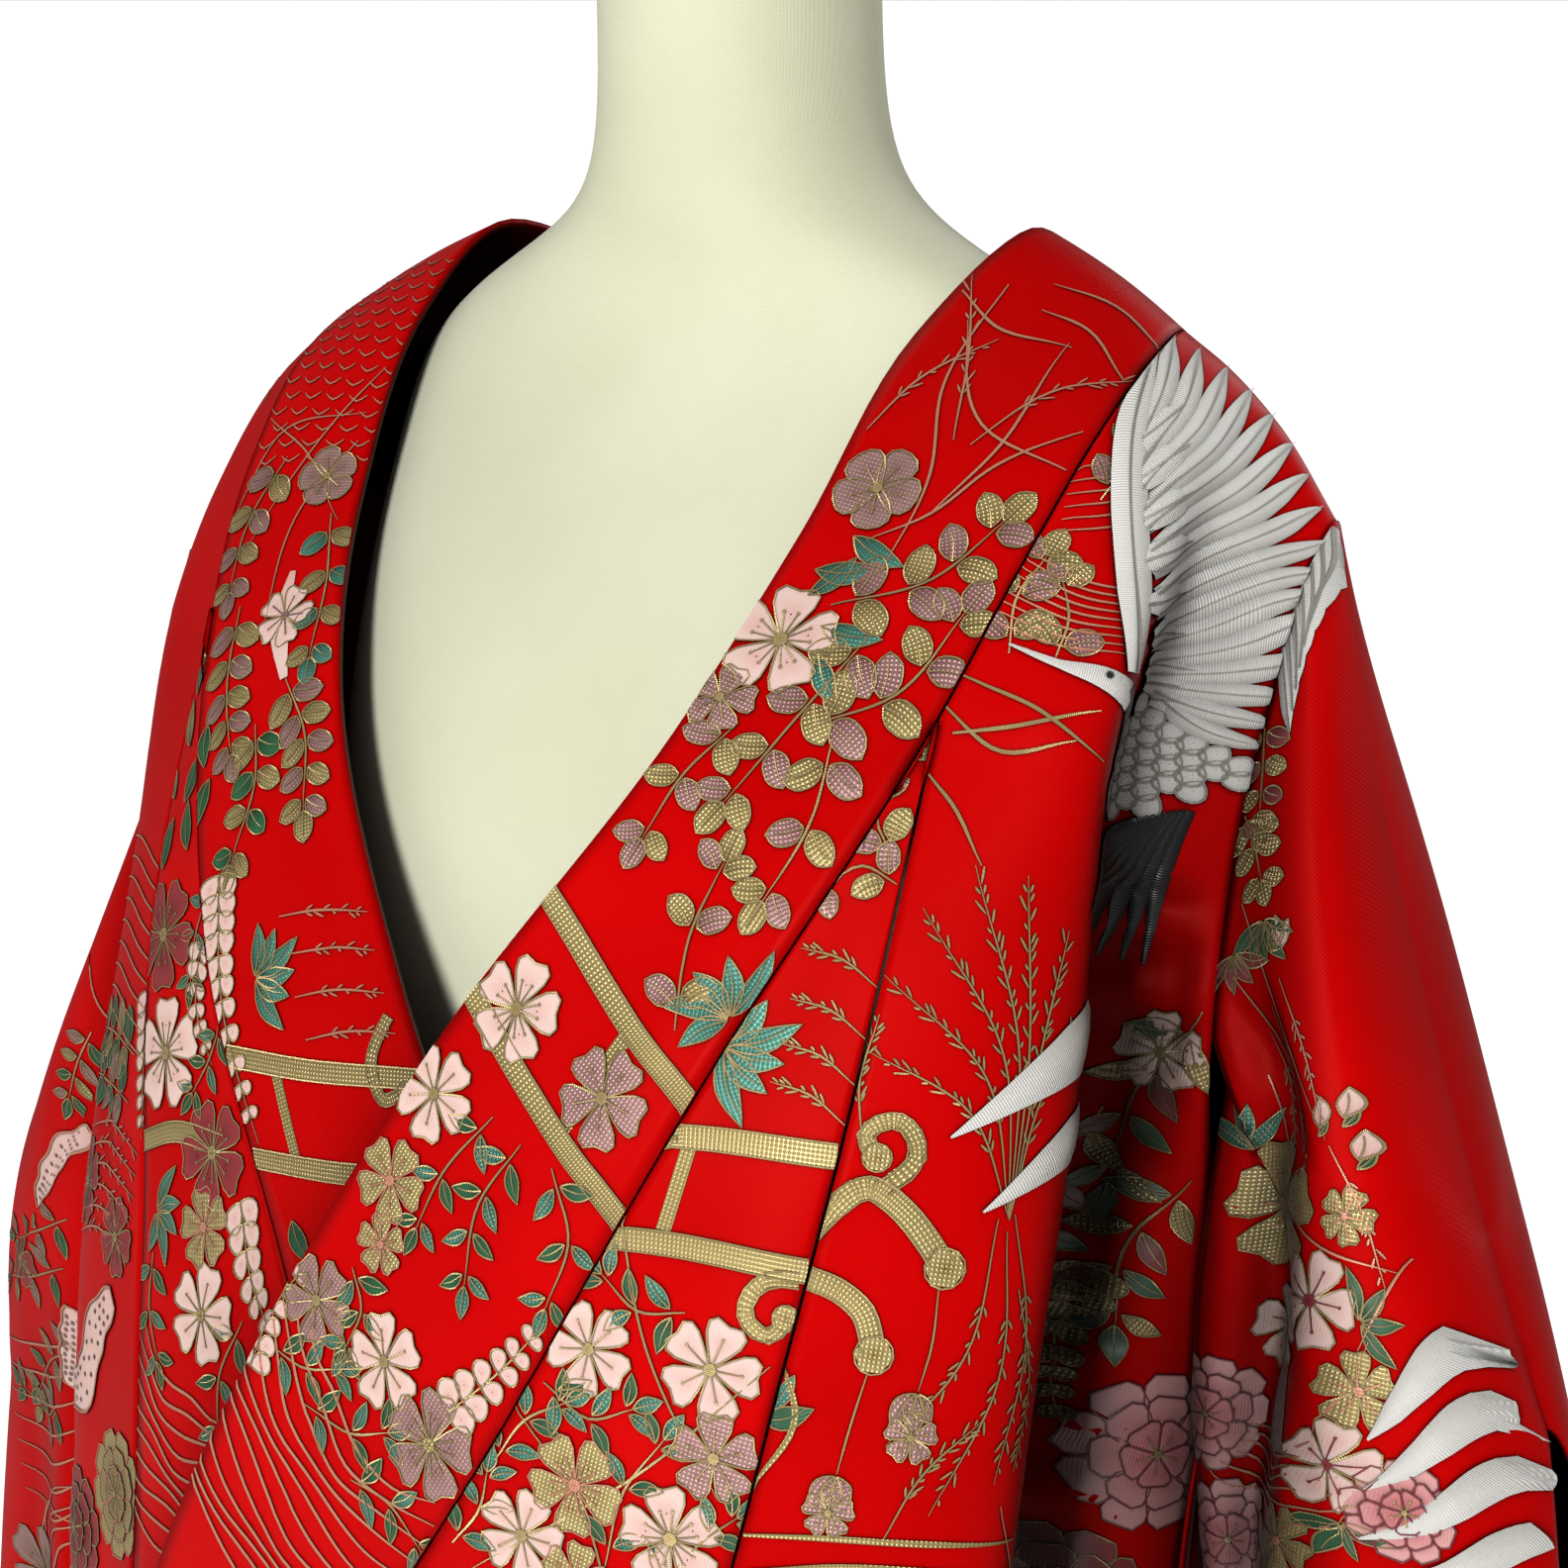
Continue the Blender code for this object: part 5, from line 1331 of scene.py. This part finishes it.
collar.wisteria(((3.4, 161.6), (4.3, 166.2), (4.4, 172.6)), 11, 1.25)
collar.star((2.3, 166.6), 6, 2.6, 110, 140, "teal_foil")
for height in (165.4, 167.0, 168.8, 170.6):
    collar.frond(((0.4, height - 0.6), (-1.8, height), (-4.0, height + 1.0)), 7, 0.5)
collar.band(((4.8, 168.6), (0.6, 171.2), (-4.4, 173.8)), 0.8, ends=False)
collar.band(((5.0, 173.0), (0.8, 175.4), (-4.6, 178.0)), 0.8, ends=False)
collar.vane("gold_foil", ((2.4, 170.4), (2.8, 174.4)), (0.5, 0.5), lift=0.02)
collar.band(((-3.9, 170.8), (-2.4, 172.2), (-2.4, 173.8), (-3.6, 173.9)), 0.5)
for path in (((3.2, 145.8), (2.0, 142.6), (-2.6, 141.4)), ((-2.6, 142.8), (-0.6, 146.0), (0.4, 152.0)),
             ((3.0, 141.8), (0.0, 143.4), (-2.6, 147.0)), ((-2.8, 139.2), (-1.2, 141.6), (1.8, 147.4))):
    collar.blade(path, width=0.08)

okumi = Panel("okumi_right")
for foot, angle, length, kind in (
        ((-1.0, 125.6), 70, 2.2, "gold_foil"), ((-1.6, 123.2), 120, 2.4, "leaf_green"),
        ((-0.4, 123.4), 60, 2.2, "gold_foil"), ((-2.6, 121.2), 75, 2.2, "leaf_green"),
        ((-0.4, 120.4), 100, 2.2, "leaf_green"), ((-0.6, 127.8), 90, 1.8, "teal_foil")):
    okumi.leaf(foot, angle, length, length * 0.42, kind)
okumi.blossom((-1.4, 117.6), 2.5, "maroon_silk", turn=50, heart="gold_foil")
okumi.blossom((-1.9, 112.6), 2.45, turn=20)
okumi.blossom((-5.0, 108.4), 2.1, "maroon_silk", turn=70, heart="gold_foil")
okumi.blossom((-4.4, 102.8), 1.9, turn=35, heart="gold_foil")
okumi.blossom((-4.4, 105.8), 1.5, "gold_foil", turn=10, edge="rose_line", heart="rose_line")
okumi.band(((-5.6, 108.6), (-2.6, 109.4), (0.0, 109.2)), 0.8, ends=False)
okumi.wisteria(((-4.6, 117.2), (-4.2, 114.4), (-5.2, 111.8)), 6, 1.0)
okumi.wisteria(((-6.6, 106.6), (-7.2, 104.2), (-8.6, 102.4)), 6, 1.1)
okumi.star((-1.2, 106.4), 5, 2.1, 130, 160, "teal_foil")
for path in (((-5.2, 119.4), (-4.2, 117.8), (-3.8, 115.4)), ((-6.0, 113.4), (-5.0, 112.0), (-3.8, 110.8)),
             ((-1.0, 104.8), (-0.8, 102.6), (-1.6, 100.6)), ((-6.8, 102.8), (-5.6, 100.8), (-5.6, 98.6))):
    okumi.spray(path, 3, 1.35, ("leaf_green", "teal_foil"), pointed=True)
okumi.arcs((-5.8, 106.2), 7.0, 13.4, 10, 262, 322, width=0.13)

right_body = Panel("body_right")
for number in range(9):
    height = 117.6 - 0.95 * number
    right_body.blade(((-10.4, height - 0.4), (-8.0, height), (-4.8, height + 0.8), (-1.0, height + 0.2)),
                     "rose_line", 0.10)
for height, kind in ((109.6, "gold_foil"), (107.6, "mauve_foil")):
    right_body.spray(((-9.2, height), (-6.0, height + 0.4), (-3.0, height + 0.2)), 5, 1.7,
                     (kind, "leaf_green"))
right_body.wisteria(((-9.6, 112.4), (-10.4, 109.4), (-11.2, 106.4)), 7, 1.2)
for number in range(6):
    height = 105.6 - 0.9 * number
    right_body.frond(((-4.0, height), (-7.0, height + 0.8), (-11.0, height + 0.2)), 9, 0.6)
right_body.blossom((-9.4, 102.0), 1.8, "maroon_silk", turn=40, heart="gold_foil")
right_body.blossom((-4.6, 103.4), 2.0, "maroon_silk", turn=10, heart="gold_foil")
for path in (((-9.4, 99.4), (-7.6, 97.8), (-6.0, 95.0), (-3.4, 94.4)),
             ((-1.6, 108.6), (-0.6, 104.0), (-1.2, 99.0))):
    right_body.spotted(path, 2.3)
right_body.peony((-10.2, 91.6), 2.6, "gold_foil", "rose_line", turn=25)
right_body.peony((-5.8, 89.0), 2.6, "maroon_silk", "outline_gold", turn=5)

right_sleeve = Panel("sleeve_right")
right_sleeve.spotted(((11.0, 94.6), (13.6, 93.2), (15.4, 91.0), (16.6, 89.6)), 2.1)
right_sleeve.spotted(((14.4, 84.6), (14.8, 82.4), (15.4, 80.4)), 1.6)
for path in (((11.2, 100.2), (12.4, 98.2), (13.2, 96.2)), ((13.4, 89.4), (16.4, 87.6), (20.2, 86.6)),
             ((14.4, 86.6), (18.0, 84.6), (21.0, 83.8)), ((14.0, 82.8), (16.8, 81.0), (19.0, 78.4)),
             ((16.4, 79.0), (18.2, 77.6), (20.6, 78.0))):
    right_sleeve.spray(path, 4, 1.6, ("leaf_green", "mauve_foil", "gold_foil"), pointed=True)
for number in range(7):
    right_sleeve.blade(((14.2 + 0.3 * number, 83.0 - 1.6 * number), (17.4, 81.4 - 1.5 * number),
                        (22.0, 79.8 - 1.3 * number)), "rose_line", 0.12)
right_sleeve.blossom((18.2, 85.6), 1.6, "maroon_silk", turn=30, heart="gold_foil")
right_sleeve.arcs((14.0, 68.0), 3.4, 7.0, 5, -10, 80, width=0.12)

# --- Figured design: where it runs on ----------------------------------------------------------
# The same flowers, leaves, wisteria and streams go on down to the hem, over the back and round
# the sleeves, in loose groups with red ground between them.
GARDENS = [
    # piece, from and to across, from and to along, seed
    ("collar", (-3.6, 3.8), (2.0, 20.0), 3),
    ("collar", (-4.0, 4.0), (178.0, 205.0), 4),
    ("okumi_left", (-16.0, -1.0), (3.0, 94.0), 5),
    ("okumi_right", (-16.0, -1.0), (3.0, 92.0), 6),
    ("body_left", (-9.0, 14.0), (4.0, 97.0), 7),
    ("body_right", (-9.0, 14.0), (4.0, 88.0), 8),
    ("body_left", (-16.0, 14.0), (162.0, 300.0), 9),
    ("body_right", (-16.0, 14.0), (162.0, 300.0), 10),
    ("sleeve_left", (1.5, 21.0), (10.0, 90.0), 11),
    ("sleeve_left", (1.5, 19.0), (184.0, 268.0), 12),
    ("sleeve_right", (1.5, 24.0), (16.0, 72.0), 13),
    ("sleeve_right", (1.5, 22.0), (188.0, 268.0), 14),
    ("body_right", (0.5, 9.0), (96.0, 140.0), 15),
    ("sleeve_right", (1.0, 10.0), (96.0, 124.0), 16),
]
BLOOMS = [("pale_petal", "outline_gold"), ("mauve_foil", "outline_gold"), ("pale_petal", "maroon_silk"),
          ("gold_foil", "rose_line"), ("maroon_silk", "gold_foil")]
GARDEN_STEP = 8.6         # centimetres from one group to the next
for name, (left_edge, right_edge), (low, high), seed in GARDENS:
    panel = Panel(name)
    random.seed(seed)
    rows = max(1, round((high - low) / GARDEN_STEP))
    for row in range(rows):
        wide = max(1, round((right_edge - left_edge) / GARDEN_STEP))
        for place in range(wide):
            u = left_edge + (right_edge - left_edge) * (place + 0.5 + random.uniform(-0.28, 0.28)) / wide
            v = low + (high - low) * (row + 0.5 + random.uniform(-0.28, 0.28)) / rows
            turn = random.uniform(0, 360)
            choice = (row * 3 + place * 2 + seed) % 7
            if choice in (0, 3, 5):
                bloom, edge = BLOOMS[(row + place + seed) % len(BLOOMS)]
                panel.spray(((u, v), around((u, v), turn + 20, 3.8), around((u, v), turn + 44, 6.6)), 3, 2.1,
                            ("teal_foil", "leaf_green"), pointed=True)
                panel.blossom((u, v), random.uniform(2.2, 3.3), bloom, turn=turn, heart=edge)
            elif choice == 1:
                panel.wisteria(((u, v + 4.4), around((u, v), turn, 1.0), (u, v - 4.8)), 9, 1.6)
            elif choice == 2:
                panel.spray((around((u, v), turn, 5.0), (u, v), around((u, v), turn + 150, 4.6)), 5, 2.2)
            elif choice == 4:
                panel.peony((u, v), random.uniform(2.9, 4.1), random.choice(("pink_petal", "maroon_silk")),
                            "outline_gold", turn)
            else:
                panel.arcs((u, v), 1.8, 5.4, 7, turn, turn + 120, width=0.13)
                panel.star((u, v), 4, 3.0, turn + 150, 110, "teal_foil")
            panel.blade((around((u, v), turn + 190, 2.0), around((u, v), turn + 215, 5.2),
                         around((u, v), turn + 250, 9.0)), "rose_line", 0.12)

# --- Figured design: its finishes --------------------------------------------------------------
# Gold and silver foil pressed on through the weave, hand-dyed silk, and embroidery thread.
# Each finish is one sheet of figures, laid on the cloth by the tree above.
FINISHES = {
    # finish: (dark tone, light tone, roughness, metallic, ribs per metre across, ribs along, depth, slot)
    "gold_foil": ((0.24, 0.16, 0.045), (0.64, 0.50, 0.21), 0.36, 0.55, 640, 640, 0.0006, "gold_foil"),
    "mauve_foil": ((0.24, 0.08, 0.08), (0.52, 0.30, 0.27), 0.40, 0.45, 640, 640, 0.0005, "gold_foil"),
    "rose_line": ((0.62, 0.20, 0.10), (0.80, 0.38, 0.24), 0.42, 0.35, 900, 900, 0.0002, "gold_foil"),
    "outline_gold": ((0.42, 0.30, 0.12), (0.62, 0.46, 0.20), 0.36, 0.50, 0, 1500, 0.0004, "gold_foil"),
    "teal_foil": ((0.010, 0.08, 0.055), (0.12, 0.37, 0.28), 0.38, 0.35, 640, 640, 0.0005, "gold_foil"),
    "leaf_green": ((0.004, 0.03, 0.012), (0.03, 0.15, 0.06), 0.46, 0.10, 900, 60, 0.0003, "dyed_motif"),
    "pale_petal": ((0.80, 0.36, 0.31), (0.93, 0.66, 0.58), 0.52, 0.0, 900, 60, 0.0002, "dyed_motif"),
    "pink_petal": ((0.55, 0.08, 0.10), (0.86, 0.42, 0.40), 0.50, 0.0, 900, 60, 0.0002, "dyed_motif"),
    "maroon_silk": ((0.10, 0.006, 0.008), (0.34, 0.035, 0.04), 0.46, 0.10, 900, 60, 0.0002, "dyed_motif"),
    "white_thread": ((0.36, 0.33, 0.28), (0.90, 0.88, 0.82), 0.44, 0.0, 0, 1150, 0.0005, "embroidery"),
    "grey_thread": ((0.28, 0.26, 0.22), (0.52, 0.49, 0.42), 0.40, 0.30, 0, 1500, 0.0004, "embroidery"),
    "black_thread": ((0.002, 0.002, 0.003), (0.010, 0.010, 0.012), 0.36, 0.0, 0, 1150, 0.0005, "embroidery"),
}
for name, (dark, light, roughness, metallic, ribs_across, ribs_along, depth, slot) in FINISHES.items():
    material, shader, add, join = paint_nodes(name, light, roughness)
    shader.inputs["Metallic"].default_value = metallic
    shader.inputs["Sheen Weight"].default_value = 0.03
    tone = add("ShaderNodeAttribute", attribute_name="tone")
    thread_run = add("ShaderNodeUVMap", uv_map="run")
    scale = add("ShaderNodeMapping")
    scale.inputs["Scale"].default_value = (ribs_across / 3.3, ribs_along / 3.3, 1.0)
    join(thread_run.outputs["UV"], scale.inputs["Vector"])
    ribs = []
    for direction in "XY":
        wave = add("ShaderNodeTexWave", wave_type="BANDS", bands_direction=direction, Scale=1.0,
                   Distortion=0.5)
        join(scale.outputs["Vector"], wave.inputs["Vector"])
        ribs.append(wave.outputs["Fac"])
    woven = add("ShaderNodeMath", operation="MULTIPLY" if ribs_across == ribs_along else "MAXIMUM")
    join(ribs[0], woven.inputs[0])
    join(ribs[1], woven.inputs[1])
    height = ribs[1] if ribs_across == 0 else woven.outputs["Value"]
    bump_on(shader, add, join, height, 0.55, depth)
    cloudy = add("ShaderNodeTexNoise", Scale=0.02, Detail=2.0)
    join(scale.outputs["Vector"], cloudy.inputs["Vector"])
    mixed = add("ShaderNodeMath", operation="MULTIPLY_ADD")
    mixed.inputs[1].default_value = 0.30 if metallic > 0.4 else 0.16
    join(height, mixed.inputs[0])
    join(tone.outputs["Fac"], mixed.inputs[2])
    ramp = add("ShaderNodeValToRGB")
    ramp.color_ramp.elements[0].color = (*dark, 1.0)
    ramp.color_ramp.elements[1].color = (*light, 1.0)
    ramp.color_ramp.elements[1].position = 0.95
    join(mixed.outputs["Value"], ramp.inputs["Fac"])
    # Painted shade: the figures' colour is darkened where they lie in folds and recesses of the cloth.
    paint_fold_shade(shader, add, join, ramp.outputs["Color"])

    points, faces, tones, runs, _ = figures[name]
    faces = np.concatenate(faces)
    mesh = bpy.data.meshes.new("figures_" + name)
    mesh.from_pydata(np.concatenate(points).tolist(), [], faces.tolist())
    layer = mesh.attributes.new("tone", "FLOAT", "POINT")
    layer.data.foreach_set("value", np.concatenate(tones).astype(np.float32))
    layer = mesh.uv_layers.new(name="run")
    layer.data.foreach_set("uv", np.concatenate(runs)[faces.ravel()].astype(np.float32).ravel())
    drawn = bpy.data.objects.new("drawn_" + name, mesh)
    bpy.context.scene.collection.objects.link(drawn)
    modifier = drawn.modifiers.new("laying", "NODES")
    modifier.node_group = laying
    values = {"Flat cloth": flat_cloth, "Overrun": 0.0002, "Finish": material}
    for item in laying.interface.items_tree:
        if item.item_type == "SOCKET" and item.in_out == "INPUT" and item.name in values:
            modifier[item.identifier] = values[item.name]
    laid_mesh = bpy.data.meshes.new_from_object(drawn.evaluated_get(bpy.context.evaluated_depsgraph_get()))
    laid_mesh.name = "figures_" + name
    bpy.data.objects.remove(drawn)
    laid_mesh.shade_smooth()
    laid = bpy.data.objects.new("figures_" + name, laid_mesh)
    bpy.context.scene.collection.objects.link(laid)
    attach(laid, "root")
bpy.data.objects.remove(flat_cloth)
